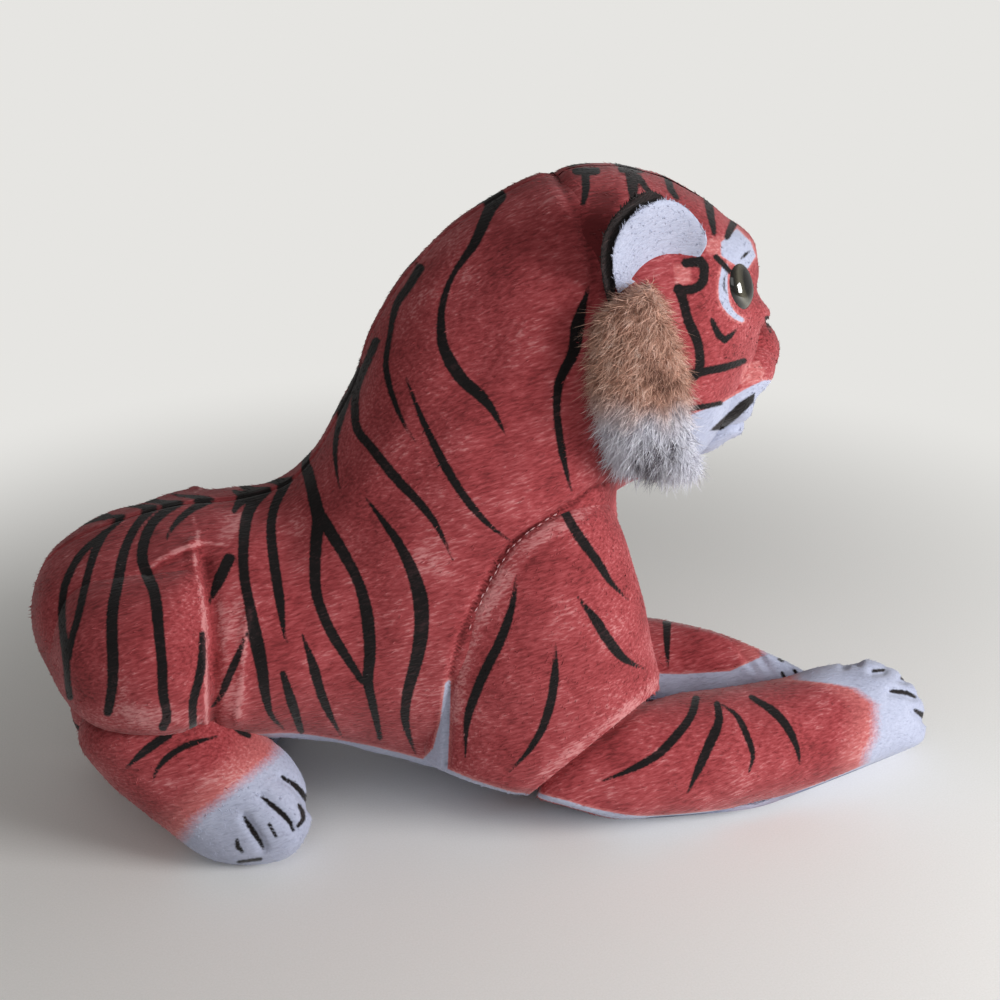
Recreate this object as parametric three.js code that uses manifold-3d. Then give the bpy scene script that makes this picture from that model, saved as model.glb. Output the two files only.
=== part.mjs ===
// Plush tiger lying with its forelegs stretched forward, at its real size.
// Millimetres, +Z up, the tiger faces +X, its right side is -Y, and it lies on the floor z = 0.
// Every stuffed form is a row of elliptical rings. Each cover is a thin shell of that form, and the
// filling is the same form drawn in by the fabric and a small gap.

import * as THREE from "three";
import { mergeVertices } from "three/addons/utils/BufferGeometryUtils.js";
import Module from "manifold-3d";

const wasm = await Module();
wasm.setup();

// Fabric, gaps and flats
const fabric = 1.5;
const gap = 0.35;
const swingGap = 0.6;
const floorFlat = 0.5;
const overrun = 6;
const mergeDistance = 1e-4;
const swingSteps = 2;
const foldSteps = 4;

// Body: rump to chest, floor to the top of the neck seam, and across the shoulders
const bodyLength = 200;
const bodyHeight = 210;
const bodyWidth = 88;
const neckSeamShare = 0.84;
const bodySides = 16;

// Head: neck seam to face, throat to crown, and across the cheeks
const headLength = 66;
const headHeight = 107;
const headWidth = 77;
const throatShare = 0.495;
const headSides = 12;

// Muzzle and chin
const muzzleLength = 39;
const muzzleHeight = 34;
const muzzleWidth = 48;
const chinLength = 31;
const chinHeight = 19;
const chinWidth = 38;
const noseLength = 9;
const noseHeight = 10;
const noseWidth = 15;

// Cheek ruffs of long pile
const ruffLength = 40;
const ruffHeight = 70;
const ruffWidth = 26;

// Ears: each is a cupped lining on a cupped back
const earWidth = 33;
const earHeight = 28;
const earCup = 6;
const earLayer = 2.4;
const earFold = 15;
const earFoldSpare = 1;

// Glossy domed eyes on a shank, held by a washer inside the head
const eyeDiameter = 15.5;
const eyeDome = 5.2;
const eyeShank = 4;
const eyeShankLength = 8;
const eyeWasher = 13;
const eyeWasherWall = 1.6;
const eyeClearance = 0.4;
const eyeWasherSeat = 1.9;

// Forelegs: upper arm panel and forearm with its paw
const upperArmLength = 80;
const upperArmHeight = 120;
const upperArmWidth = 42;
const forelegLength = 143;
const forelegHeight = 41;
const forelegWidth = 41;
const rightTurnIn = 23;
const leftTurnIn = 28;
const leftArmBack = 12;
const leftForelegBack = 33;
const elbowSlope = 37;
const forelegSwing = 10;

// Hind legs: haunch and hind foot
const haunchLength = 55;
const haunchHeight = 58;
const haunchWidth = 56;
const haunchFloor = 42;
const hindFootLength = 72;
const hindFootHeight = 66;
const hindFootWidth = 37;
const hindFootSwing = 10;

// Tail
const tailDiameter = 14;
const tailSwing = 15;
const tailSteps = 8;
const tailSides = 8;

// Where the pieces sit: values named share are shares of the piece that carries them.
// Values named sides, steps, rows and columns say how finely a curve is cut.
const bellyFromShare = 0.13;
const bellyToShare = 0.66;
const bellyTopShare = 0.17;
const upperArmStartShare = 0.645;
const elbowShare = 0.9;
const elbowHeightShare = 0.365;
const forelegStartShare = 0.805;
const forelegSpreadShare = 0.41;
const upperArmSpreadShare = 0.3;
const haunchSpreadShare = 0.2;
const turnInPower = 1.8;
const undersideShare = 0.3;
const undersideRiseShare = 0.4;
const haunchStartShare = 0.03;
const hockShare = 0.26;
const hindFootStartShare = 0.065;
const hockOutShare = 0.22;
const headSweepClearance = 1;
const eyeRingShare = 0.644;
const eyeAngle = 1.01;
const eyeSink = 0.8;
const muzzleXShare = 0.495;
const muzzleZShare = 0.2;
const chinXShare = 0.49;
const chinZShare = 0.135;
const noseXShare = 1.05;
const noseZShare = 0.465;
const ruffXShare = 0;
const ruffZShare = 0.152;
const ruffYShare = 0.4;
const earXShare = 0.36;
const earZShare = 0.76;
const earYShare = 0.42;
const rightEarLean = 16;
const leftEarLean = 74;
const earRise = 27;
const earTurn = 14;
const earRim = 1.6;
const earRoundness = 2.5;
const limbSides = 10;
const faceSides = 8;
const noseSides = 8;
const earRows = 4;
const earColumns = 6;
const eyeSides = 10;
const eyeSteps = 3;
const sweepSides = 20;

// Ring tables. A row is: upper x, upper z, lower x, lower z, y of the middle, half width.
// They are shares of the form's length, height and width, picked by hand.
const bodyShares = [
  [0.0, 0.36, 0.0, 0.36, 0, 0],
  [0.02, 0.44, 0.03, 0.275, 0, 0.45],
  [0.06, 0.48, 0.075, 0.22, 0, 0.7],
  [0.135, 0.51, 0.16, 0.175, 0, 0.88],
  [0.24, 0.526, 0.255, 0.15, 0, 0.95],
  [0.335, 0.53, 0.36, 0.14, 0, 0.93],
  [0.405, 0.546, 0.47, 0.11, 0, 0.91],
  [0.452, 0.586, 0.59, 0.065, 0, 0.93],
  [0.49, 0.642, 0.71, 0.018, 0, 0.98],
  [0.524, 0.704, 0.835, 0.012, 0, 1.0],
  [0.554, 0.776, 0.93, 0.048, 0, 0.98],
  [0.591, 0.838, 0.97, 0.162, 0, 0.93],
  [0.637, 0.891, 0.965, 0.286, 0, 0.89],
  [0.696, 0.94, 0.95, 0.4, 0, 0.85],
  [0.763, 0.981, 0.935, 0.49, 0, 0.83],
  [0.845, 1.0, 0.94, 0.57, 0, 0.82],
  [0.93, 0.97, 0.97, 0.66, 0, 0.7],
  [0.99, 0.8, 0.99, 0.8, 0, 0],
];
const headShares = [
  [-0.3, 0.5, -0.3, 0.5, 0, 0],
  [-0.2, 0.92, -0.2, 0.1, 0, 0.8],
  [0.0, 0.988, 0.0, 0.028, 0, 0.935],
  [0.21, 1.005, 0.21, 0.0, 0, 0.985],
  [0.39, 0.985, 0.39, 0.01, 0, 1.0],
  [0.56, 0.95, 0.56, 0.06, 0, 0.95],
  [0.7, 0.9, 0.7, 0.13, 0, 0.83],
  [0.81, 0.84, 0.81, 0.24, 0, 0.68],
  [0.9, 0.776, 0.9, 0.35, 0, 0.5],
  [0.955, 0.706, 0.955, 0.43, 0, 0.33],
  [0.985, 0.64, 0.985, 0.5, 0, 0.17],
  [1.0, 0.57, 1.0, 0.57, 0, 0],
];
const muzzleShares = [
  [0.0, 0.5, 0.0, 0.5, 0, 0],
  [0.08, 0.85, 0.08, 0.15, 0, 0.75],
  [0.3, 1.0, 0.3, 0.02, 0, 1.0],
  [0.55, 1.0, 0.55, 0.02, 0, 0.98],
  [0.79, 0.97, 0.77, 0.13, 0, 0.84],
  [0.93, 0.9, 0.88, 0.31, 0, 0.6],
  [0.99, 0.82, 0.955, 0.48, 0, 0.32],
  [1.0, 0.68, 1.0, 0.68, 0, 0],
];
const chinShares = [
  [0.0, 0.5, 0.0, 0.5, 0, 0],
  [0.1, 0.85, 0.1, 0.2, 0, 0.65],
  [0.35, 1.0, 0.35, 0.0, 0, 0.95],
  [0.65, 1.0, 0.65, 0.02, 0, 1.0],
  [0.88, 0.85, 0.88, 0.2, 0, 0.7],
  [1.0, 0.5, 1.0, 0.5, 0, 0],
];
const ruffShares = [
  [0.55, 1.0, 0.55, 1.0, 0.2, 0],
  [0.28, 0.93, 0.78, 0.96, 0.25, 0.45],
  [0.08, 0.78, 0.82, 0.82, 0.3, 0.75],
  [0.0, 0.6, 0.86, 0.62, 0.33, 0.95],
  [0.02, 0.43, 0.84, 0.42, 0.33, 1.0],
  [0.12, 0.27, 0.9, 0.24, 0.28, 0.95],
  [0.22, 0.12, 1.0, 0.1, 0.2, 0.8],
  [0.34, 0.02, 0.94, 0.01, 0.12, 0.5],
  [0.62, 0.0, 0.62, 0.0, 0.1, 0],
];
const upperArmShares = [
  [0.45, 1.0, 0.45, 1.0, 0.01, 0],
  [0.21, 0.958, 0.61, 0.965, 0.03, 0.68],
  [0.055, 0.863, 0.68, 0.89, 0.05, 0.78],
  [-0.045, 0.73, 0.74, 0.77, 0.07, 0.88],
  [-0.095, 0.563, 0.8, 0.62, 0.1, 0.95],
  [-0.1, 0.396, 0.85, 0.47, 0.12, 1.0],
  [-0.1, 0.238, 0.9, 0.33, 0.14, 1.0],
  [0.05, 0.108, 0.94, 0.2, 0.16, 0.97],
  [0.275, 0.037, 0.93, 0.09, 0.16, 0.82],
  [0.56, 0.0, 0.85, 0.02, 0.16, 0.5],
  [0.7, 0.0, 0.7, 0.0, 0.16, 0],
];
const forelegShares = [
  [0.0, 0.4, 0.0, 0.4, 0, 0],
  [0.07, 0.81, 0.02, 0.14, 0, 0.66],
  [0.19, 1.0, 0.12, 0.03, 0, 0.92],
  [0.35, 1.0, 0.3, 0.0, 0, 1.0],
  [0.56, 0.96, 0.55, 0.0, 0, 0.99],
  [0.735, 0.99, 0.735, 0.0, 0, 0.96],
  [0.835, 0.95, 0.85, 0.0, 0, 0.92],
  [0.91, 0.82, 0.935, 0.02, 0, 0.78],
  [0.965, 0.64, 0.98, 0.12, 0, 0.5],
  [1.0, 0.36, 1.0, 0.36, 0, 0],
];
const haunchShares = [
  [0.0, 0.5, 0.0, 0.5, -0.01, 0],
  [0.06, 0.72, 0.1, 0.24, 0.01, 0.46],
  [0.19, 0.89, 0.24, 0.1, 0.06, 0.77],
  [0.42, 0.985, 0.46, 0.015, 0.1, 0.96],
  [0.69, 1.0, 0.72, 0.0, 0.12, 1.0],
  [0.88, 0.9, 0.88, 0.13, 0.11, 0.85],
  [0.97, 0.72, 0.97, 0.3, 0.09, 0.5],
  [1.0, 0.5, 1.0, 0.5, 0.07, 0],
];
const hindFootShares = [
  [0.17, 0.94, 0.17, 0.94, 0.24, 0],
  [0.42, 1.0, 0.0, 0.73, 0.24, 0.85],
  [0.555, 0.89, 0.1, 0.5, 0.26, 0.97],
  [0.695, 0.73, 0.265, 0.29, 0.3, 1.0],
  [0.82, 0.59, 0.43, 0.09, 0.34, 1.0],
  [0.905, 0.5, 0.61, 0.0, 0.39, 0.95],
  [0.95, 0.39, 0.8, 0.0, 0.43, 0.78],
  [0.965, 0.29, 0.91, 0.07, 0.45, 0.46],
  [0.965, 0.18, 0.965, 0.18, 0.47, 0],
];
// Tail route: shares of the body's length, width and height, from the rump round the left haunch
const tailShares = [
  [0.11, 0.01, 0.215],
  [0.065, 0.1, 0.14],
  [0.066, 0.28, 0.04],
  [0.085, 0.53, 0.0],
  [0.16, 0.74, 0.0],
  [0.28, 0.86, 0.0],
  [0.4, 0.87, 0.0],
];

// Places that follow from the sizes above
const neckSeamX = neckSeamShare * bodyLength;
const throatZ = throatShare * bodyHeight;
const elbowTilt = THREE.MathUtils.degToRad(elbowSlope);
const upperArmSpread = upperArmSpreadShare * bodyWidth;
const forelegSpread = forelegSpreadShare * bodyWidth;
const haunchSpread = haunchSpreadShare * bodyWidth;
const upY = new THREE.Vector3(0, 1, 0);
const upZ = new THREE.Vector3(0, 0, 1);

// A form is a function of ring share t and angle, both from 0 to 1, that gives a point.
// A point of a ring is its middle plus an ellipse between its upper and lower point.
function form(rows, size, place, bend = (point) => point) {
  const rings = rows.map(([ax, az, bx, bz, y, halfWidth]) => {
    const upper = new THREE.Vector3(ax * size.length, 0, az * size.height);
    const lower = new THREE.Vector3(bx * size.length, 0, bz * size.height);
    const middle = upper.clone().add(lower).multiplyScalar(0.5);
    middle.y = place.side * y * size.width;
    const rise = upper.sub(lower).multiplyScalar(0.5);
    return { middle, rise, halfWidth: halfWidth * size.width * 0.5 };
  });
  const point = (ring, angle) => {
    const { middle, rise, halfWidth } = rings[ring];
    const local = middle.clone().addScaledVector(rise, Math.cos(angle));
    local.addScaledVector(upY, halfWidth * Math.sin(angle));
    return bend(local).add(place.origin);
  };
  return { count: rings.length, point };
}

// The grid of a form's points, moved out along its normals by a distance
function grid(shape, sides, distance) {
  const last = shape.count - 1;
  const base = [];
  for (let ring = 0; ring <= last; ring += 1) {
    const angles = Array.from({ length: sides }, (_, side) => (side / sides) * Math.PI * 2);
    base.push(angles.map((angle) => shape.point(ring, angle)));
  }
  const middles = base.map((ring) => {
    const sum = new THREE.Vector3();
    ring.forEach((point) => sum.add(point));
    return sum.divideScalar(sides);
  });
  return base.map((ring, i) => ring.map((point, j) => {
    if (i === 0 || i === last) {
      const inward = i === 0 ? 1 : last - 1;
      const out = middles[i].clone().sub(middles[inward]).normalize();
      return point.clone().addScaledVector(out, distance);
    }
    const along = base[i + 1][j].clone().sub(base[i - 1][j]);
    const around = ring[(j + 1) % sides].clone().sub(ring[(j + sides - 1) % sides]);
    const normal = along.cross(around).normalize();
    if (normal.dot(point.clone().sub(middles[i])) < 0) {
      normal.negate();
    }
    return point.clone().addScaledVector(normal, distance);
  }));
}

// A solid from a closed geometry, with its vertices merged
function solidOf(geometry) {
  const plain = new THREE.BufferGeometry();
  plain.setAttribute("position", geometry.getAttribute("position"));
  plain.setIndex(geometry.getIndex());
  const merged = mergeVertices(plain, mergeDistance);
  const vertProperties = new Float32Array(merged.getAttribute("position").array);
  const index = merged.getIndex().array;
  const corners = [];
  for (let i = 0; i < index.length; i += 3) {
    const [a, b, c] = [index[i], index[i + 1], index[i + 2]];
    if (a !== b && b !== c && c !== a) {
      corners.push(a, b, c);
    }
  }
  const triVerts = new Uint32Array(corners);
  return new wasm.Manifold(new wasm.Mesh({ numProp: 3, vertProperties, triVerts }));
}

function solidOfTriangles(points, corners) {
  const geometry = new THREE.BufferGeometry();
  geometry.setAttribute("position", new THREE.Float32BufferAttribute(points.flatMap((p) => p.toArray()), 3));
  geometry.setIndex(corners);
  const solid = solidOf(geometry);
  if (solid.volume() > 0) {
    return solid;
  }
  const turned = [];
  for (let i = 0; i < corners.length; i += 3) {
    turned.push(corners[i], corners[i + 2], corners[i + 1]);
  }
  geometry.setIndex(turned);
  return solidOf(geometry);
}

// The closed solid inside a form that is moved out, or in, by a distance
function body(shape, sides, distance = 0) {
  const rows = grid(shape, sides, distance);
  const corners = [];
  for (let i = 0; i < rows.length - 1; i += 1) {
    for (let j = 0; j < sides; j += 1) {
      const next = (j + 1) % sides;
      const [a, b] = [i * sides + j, i * sides + next];
      const [c, d] = [a + sides, b + sides];
      corners.push(a, b, d, a, d, c);
    }
  }
  return solidOfTriangles(rows.flat(), corners);
}

// A sheet with a thickness: two grids of points, joined round their border
function sheet(front, back) {
  const rows = front.length;
  const columns = front[0].length;
  const points = [...front.flat(), ...back.flat()];
  const corners = [];
  const at = (layer, i, j) => layer * rows * columns + i * columns + j;
  for (let i = 0; i < rows - 1; i += 1) {
    for (let j = 0; j < columns - 1; j += 1) {
      corners.push(at(0, i, j), at(0, i, j + 1), at(0, i + 1, j + 1));
      corners.push(at(0, i, j), at(0, i + 1, j + 1), at(0, i + 1, j));
      corners.push(at(1, i, j), at(1, i + 1, j + 1), at(1, i, j + 1));
      corners.push(at(1, i, j), at(1, i + 1, j), at(1, i + 1, j + 1));
    }
  }
  const border = [];
  for (let j = 0; j < columns - 1; j += 1) {
    border.push([0, j]);
  }
  for (let i = 0; i < rows - 1; i += 1) {
    border.push([i, columns - 1]);
  }
  for (let j = columns - 1; j > 0; j -= 1) {
    border.push([rows - 1, j]);
  }
  for (let i = rows - 1; i > 0; i -= 1) {
    border.push([i, 0]);
  }
  border.forEach(([i, j], step) => {
    const [k, l] = border[(step + 1) % border.length];
    corners.push(at(0, i, j), at(1, k, l), at(0, k, l));
    corners.push(at(0, i, j), at(1, i, j), at(1, k, l));
  });
  return solidOfTriangles(points, corners);
}

// Cuts. A plane keeps the side that its normal points to.
function keep(solid, normal, point) {
  return solid.trimByPlane(normal.toArray(), normal.dot(point));
}

function sideOf(solid, side) {
  return keep(solid, new THREE.Vector3(0, side, 0), new THREE.Vector3(0, (side * gap) / 2, 0));
}

function onFloor(solid) {
  return keep(solid, upZ, new THREE.Vector3());
}

function moved(solid, matrix) {
  return solid.transform(matrix.elements);
}

// What is left of a solid that clears its neighbours all the way through its swing
function clearOfSwing(solid, neighbours, axis, point, from, to, steps) {
  let left = solid;
  for (let step = 0; step <= steps; step += 1) {
    const angle = THREE.MathUtils.degToRad(from + ((to - from) * step) / steps);
    const turn = new THREE.Matrix4().makeTranslation(point);
    turn.multiply(new THREE.Matrix4().makeRotationAxis(axis, -angle));
    turn.multiply(new THREE.Matrix4().makeTranslation(point.clone().negate()));
    neighbours.forEach((neighbour) => {
      left = left.subtract(moved(neighbour, turn));
    });
  }
  return left;
}

// The largest of a solid's separate bodies, so that slivers that a cut leaves are dropped
function largest(solid) {
  return solid.decompose().reduce((best, one) => (one.volume() > best.volume() ? one : best));
}

// Finishes
function finish(color, roughness, metalness = 0) {
  return new THREE.MeshStandardMaterial({ color, roughness, metalness });
}
const redPlush = finish("#9c4246", 0.95);
const whitePlush = finish("#c9cbd8", 0.95);
const blackPlush = finish("#231a1c", 0.95);
const tanPile = finish("#a98470", 1.0);
const fibrefill = finish("#e8e6e0", 1.0);
const glossyEye = finish("#1a1512", 0.12);
const whitePlastic = finish("#d8d8d4", 0.5);

const tiger = new THREE.Group();
function add(name, solid, material) {
  const mesh = largest(solid).getMesh();
  const geometry = new THREE.BufferGeometry();
  geometry.setAttribute("position", new THREE.BufferAttribute(mesh.vertProperties, mesh.numProp));
  geometry.setIndex(new THREE.BufferAttribute(mesh.triVerts, 1));
  geometry.computeVertexNormals();
  const node = new THREE.Mesh(geometry, material);
  node.name = name;
  tiger.add(node);
}

// Shell of fabric, and the filling inside it
function shell(shape, sides) {
  return body(shape, sides).subtract(body(shape, sides, -fabric));
}

function filling(shape, sides) {
  return body(shape, sides, -fabric - gap);
}

const along = new THREE.Vector3(1, 0, 0);
const middle = { side: 1, origin: new THREE.Vector3() };
const sides = [["right", -1], ["left", 1]];

// Body: right and left panels, a belly panel between them, and one filling
const bodySize = { length: bodyLength, height: bodyHeight, width: bodyWidth };
const bodyForm = form(bodyShares, bodySize, middle);
const bodyRoom = body(bodyForm, bodySides, gap);
const swingRoom = body(bodyForm, bodySides, swingGap);

// The head turns on the neck seam, so the chest below it is cut to the circle that the head sweeps
const neckAxis = new THREE.Vector3(neckSeamX, 0, throatZ + headHeight / 2);
function headSweep(radius) {
  const cylinder = new THREE.CylinderGeometry(radius, radius, bodyLength, sweepSides);
  cylinder.rotateZ(Math.PI / 2);
  cylinder.translate(neckAxis.x + bodyLength / 2, 0, neckAxis.z);
  const above = new THREE.BoxGeometry(bodyLength, radius * 2, bodyHeight);
  above.translate(neckAxis.x + bodyLength / 2, 0, neckAxis.z + bodyHeight / 2);
  return solidOf(cylinder).add(solidOf(above));
}
const headSwept = headSweep(headHeight / 2 + headSweepClearance);

function bellyPrism(grow) {
  const from = bellyFromShare * bodyLength - grow;
  const to = bellyToShare * bodyLength + grow;
  const top = bellyTopShare * bodyHeight + grow;
  const halfWidth = bodyWidth / 2 + overrun;
  const box = new THREE.BoxGeometry(to - from, halfWidth * 2, top + overrun);
  box.translate((to + from) / 2, 0, (top - overrun) / 2);
  return solidOf(box);
}

const bodyShell = onFloor(shell(bodyForm, bodySides)).subtract(headSwept);
sides.forEach(([name, side]) => {
  add(`body_panel_${name}`, sideOf(bodyShell, side).subtract(bellyPrism(gap / 2)), redPlush);
});
add("belly_panel", bodyShell.intersect(bellyPrism(-gap / 2)), whitePlush);
add("body_filling", onFloor(filling(bodyForm, bodySides / 2)).subtract(headSwept), fibrefill);

// Legs and tail are cut by the body, and each swings out at a seam, on an upright axis at its edge
function swung(part, neighbours, joint) {
  return clearOfSwing(part, neighbours, joint.axis, joint.point, 0, joint.swing, swingSteps);
}

sides.forEach(([name, side]) => {
  const isLeft = side > 0;

  // Upper arm: sewn to the side of the body, and to the forearm at a sloping elbow seam
  const armX = upperArmStartShare * bodyLength - (isLeft ? leftArmBack : 0);
  const armSize = { length: upperArmLength, height: upperArmHeight, width: upperArmWidth };
  const armPlace = { side, origin: new THREE.Vector3(armX, side * upperArmSpread, -floorFlat) };
  const armForm = form(upperArmShares, armSize, armPlace);
  const elbow = new THREE.Vector3(armX + elbowShare * upperArmLength, 0, elbowHeightShare * upperArmHeight);
  const elbowOut = new THREE.Vector3(Math.sin(elbowTilt), 0, -Math.cos(elbowTilt));
  const aboveElbow = (solid) => keep(solid, elbowOut.clone().negate(), elbow);
  const armShell = onFloor(aboveElbow(shell(armForm, limbSides)));
  add(`upper_arm_cover_${name}`, armShell.subtract(bodyRoom).subtract(headSwept), redPlush);
  const armFilling = onFloor(aboveElbow(filling(armForm, limbSides)));
  add(`upper_arm_filling_${name}`, armFilling.subtract(bodyRoom).subtract(headSwept), fibrefill);

  // Forearm and paw: it turns in towards the paw
  const turnIn = isLeft ? leftTurnIn : rightTurnIn;
  const forelegX = forelegStartShare * bodyLength - (isLeft ? leftForelegBack : 0);
  const forelegY = side * forelegSpread;
  const curve = (point) => {
    const share = Math.max(0, point.x / forelegLength);
    return point.add(new THREE.Vector3(0, -side * turnIn * share ** turnInPower, 0));
  };
  const forelegPlace = { side, origin: new THREE.Vector3(forelegX, forelegY, -floorFlat) };
  const forelegSize = { length: forelegLength, height: forelegHeight, width: forelegWidth };
  const forelegForm = form(forelegShares, forelegSize, forelegPlace, curve);
  const elbowGap = elbow.clone().addScaledVector(elbowOut, gap);
  const belowElbow = (solid) => keep(solid, elbowOut, elbowGap);
  const elbowJoint = {
    axis: new THREE.Vector3(0, 0, side),
    point: new THREE.Vector3(elbow.x, side * (forelegSpread + forelegWidth / 2), 0),
    swing: forelegSwing,
  };
  const chord = new THREE.Vector3(forelegLength, -side * turnIn, 0).normalize();
  const across = new THREE.Vector3().crossVectors(upZ, chord).multiplyScalar(side);
  const seamTilt = across.clone().multiplyScalar(undersideRiseShare).add(upZ).normalize();
  const seamPoint = new THREE.Vector3(forelegX, forelegY, undersideShare * forelegHeight);
  const forelegShell = onFloor(belowElbow(shell(forelegForm, limbSides)));
  const forelegCover = swung(forelegShell, [swingRoom], elbowJoint);
  const upperSeam = seamPoint.clone().addScaledVector(seamTilt, gap / 2);
  const lowerSeam = seamPoint.clone().addScaledVector(seamTilt, -gap / 2);
  add(`forearm_cover_${name}`, keep(forelegCover, seamTilt, upperSeam), redPlush);
  add(`forearm_underside_${name}`, keep(forelegCover, seamTilt.clone().negate(), lowerSeam), whitePlush);
  const forelegFilling = onFloor(belowElbow(filling(forelegForm, limbSides)));
  add(`forearm_filling_${name}`, swung(forelegFilling, [swingRoom], elbowJoint), fibrefill);

  // Haunch: sewn to the side of the rump, level below where the hind foot is sewn on
  const haunchOrigin = new THREE.Vector3(haunchStartShare * bodyLength, side * haunchSpread, haunchFloor);
  const haunchPlace = { side, origin: haunchOrigin };
  const haunchSize = { length: haunchLength, height: haunchHeight, width: haunchWidth };
  const haunchForm = form(haunchShares, haunchSize, haunchPlace);
  const hockLevel = new THREE.Vector3(0, 0, haunchFloor + hockShare * haunchHeight);
  const aboveHock = (solid) => keep(solid, upZ, hockLevel);
  add(`haunch_cover_${name}`, aboveHock(shell(haunchForm, limbSides)).subtract(bodyRoom), redPlush);
  add(`haunch_filling_${name}`, aboveHock(filling(haunchForm, limbSides)).subtract(bodyRoom), fibrefill);

  // Hind foot, with its lower leg
  const footOrigin = new THREE.Vector3(hindFootStartShare * bodyLength, side * haunchSpread, -floorFlat);
  const footPlace = { side, origin: footOrigin };
  const footSize = { length: hindFootLength, height: hindFootHeight, width: hindFootWidth };
  const footForm = form(hindFootShares, footSize, footPlace);
  const hockGap = hockLevel.clone().addScaledVector(upZ, -gap);
  const belowHock = (solid) => keep(solid, upZ.clone().negate(), hockGap);
  const hockJoint = {
    axis: new THREE.Vector3(0, 0, side),
    point: new THREE.Vector3(footOrigin.x, side * (haunchSpread + hockOutShare * hindFootWidth), 0),
    swing: hindFootSwing,
  };
  const footShell = onFloor(belowHock(shell(footForm, limbSides)));
  add(`hind_foot_cover_${name}`, swung(footShell, [swingRoom], hockJoint), redPlush);
  const footFilling = onFloor(belowHock(filling(footForm, limbSides)));
  add(`hind_foot_filling_${name}`, swung(footFilling, [swingRoom], hockJoint), fibrefill);
});

// Tail: a stuffed tube round the left haunch
const tailRadius = tailDiameter / 2;
const tailPoints = tailShares.map(([x, y, z]) => {
  return new THREE.Vector3(x * bodyLength, y * bodyWidth, tailRadius - floorFlat + z * bodyHeight);
});
const tailCurve = new THREE.CatmullRomCurve3(tailPoints);
function tailSolid(radius) {
  const section = new THREE.Shape().absarc(0, 0, radius, 0, Math.PI * 2);
  const options = { extrudePath: tailCurve, steps: tailSteps, curveSegments: tailSides / 2 };
  options.bevelEnabled = false;
  const tube = solidOf(new THREE.ExtrudeGeometry(section, options));
  const tip = new THREE.SphereGeometry(radius, tailSides, tailSides / 2);
  tip.translate(...tailPoints.at(-1).toArray());
  return tube.add(solidOf(tip));
}
const tailJoint = { axis: upZ, point: tailPoints[0], swing: tailSwing };
const rump = [swingRoom];
const tailShell = onFloor(tailSolid(tailRadius).subtract(tailSolid(tailRadius - fabric)));
add("tail_cover", swung(tailShell, rump, tailJoint), redPlush);
add("tail_filling", swung(onFloor(tailSolid(tailRadius - fabric - gap)), rump, tailJoint), fibrefill);

// Head: right and left panels and one filling, in front of the neck seam
const headPlace = { side: 1, origin: new THREE.Vector3(neckSeamX, 0, throatZ) };
const headSize = { length: headLength, height: headHeight, width: headWidth };
const headForm = form(headShares, headSize, headPlace);
const headRoom = body(headForm, headSides, gap);
const seamFront = new THREE.Vector3(neckSeamX + gap, 0, 0);
const inFront = (solid) => keep(solid, along, seamFront);

// A point on the head, and the way the cloth faces there, from a ring share and an angle
function onHead(share, angle) {
  const count = headForm.count - 1;
  const ring = Math.floor(share * count);
  const part = share * count - ring;
  const at = (i, a) => headForm.point(Math.min(i, count), a);
  const point = at(ring, angle).lerp(at(ring + 1, angle), part);
  const step = Math.PI / headSides;
  const forwards = at(ring + 1, angle).sub(at(ring, angle));
  const around = at(ring, angle + step).sub(at(ring, angle - step));
  const normal = forwards.cross(around).normalize();
  const middlePoint = at(ring, 0).add(at(ring, Math.PI)).multiplyScalar(1 / 2);
  if (normal.dot(point.clone().sub(middlePoint)) < 0) {
    normal.negate();
  }
  return { point, normal };
}

function turnedTo(geometry, { point, normal }) {
  const turn = new THREE.Quaternion().setFromUnitVectors(upY, normal);
  geometry.applyQuaternion(turn);
  geometry.translate(point.x, point.y, point.z);
  return solidOf(geometry);
}

// Eye: a domed button with its shank along local Y, base at the cloth
function eyeGeometry(grow) {
  const radius = eyeDiameter / 2 + grow;
  const shank = eyeShank / 2 + grow;
  const end = -eyeShankLength - grow;
  const seat = -eyeSink - grow;
  const corners = [[0, end], [shank, end], [shank, seat], [radius, seat]];
  const profile = corners.map(([x, y]) => new THREE.Vector2(x, y));
  for (let step = 1; step < eyeSteps; step += 1) {
    const angle = (step / eyeSteps) * (Math.PI / 2);
    profile.push(new THREE.Vector2(radius * Math.cos(angle), (eyeDome + grow) * Math.sin(angle)));
  }
  profile.push(new THREE.Vector2(0, eyeDome + grow));
  return new THREE.LatheGeometry(profile, eyeSides);
}

function washerGeometry(grow) {
  const top = -fabric - gap - eyeWasherSeat + grow;
  const bottom = top - eyeWasherWall - 2 * grow;
  const inner = Math.max(eyeShank / 2 + eyeClearance - grow, 0);
  const outer = eyeWasher / 2 + grow;
  const corners = [[inner, bottom], [outer, bottom], [outer, top], [inner, top], [inner, bottom]];
  return new THREE.LatheGeometry(corners.map(([x, y]) => new THREE.Vector2(x, y)), eyeSides);
}

let headShell = inFront(shell(headForm, headSides));
let headStuffing = inFront(filling(headForm, headSides / 2));
sides.forEach(([name, side]) => {
  const seat = onHead(eyeRingShare, side * eyeAngle);
  headShell = headShell.subtract(turnedTo(eyeGeometry(eyeClearance), seat));
  headStuffing = headStuffing.subtract(turnedTo(eyeGeometry(eyeClearance), seat));
  headStuffing = headStuffing.subtract(turnedTo(washerGeometry(eyeClearance), seat));
  add(`eye_${name}`, turnedTo(eyeGeometry(0), seat), glossyEye);
  add(`eye_washer_${name}`, turnedTo(washerGeometry(0), seat), whitePlastic);
});
sides.forEach(([name, side]) => add(`head_panel_${name}`, sideOf(headShell, side), redPlush));
add("head_filling", headStuffing, fibrefill);

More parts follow.
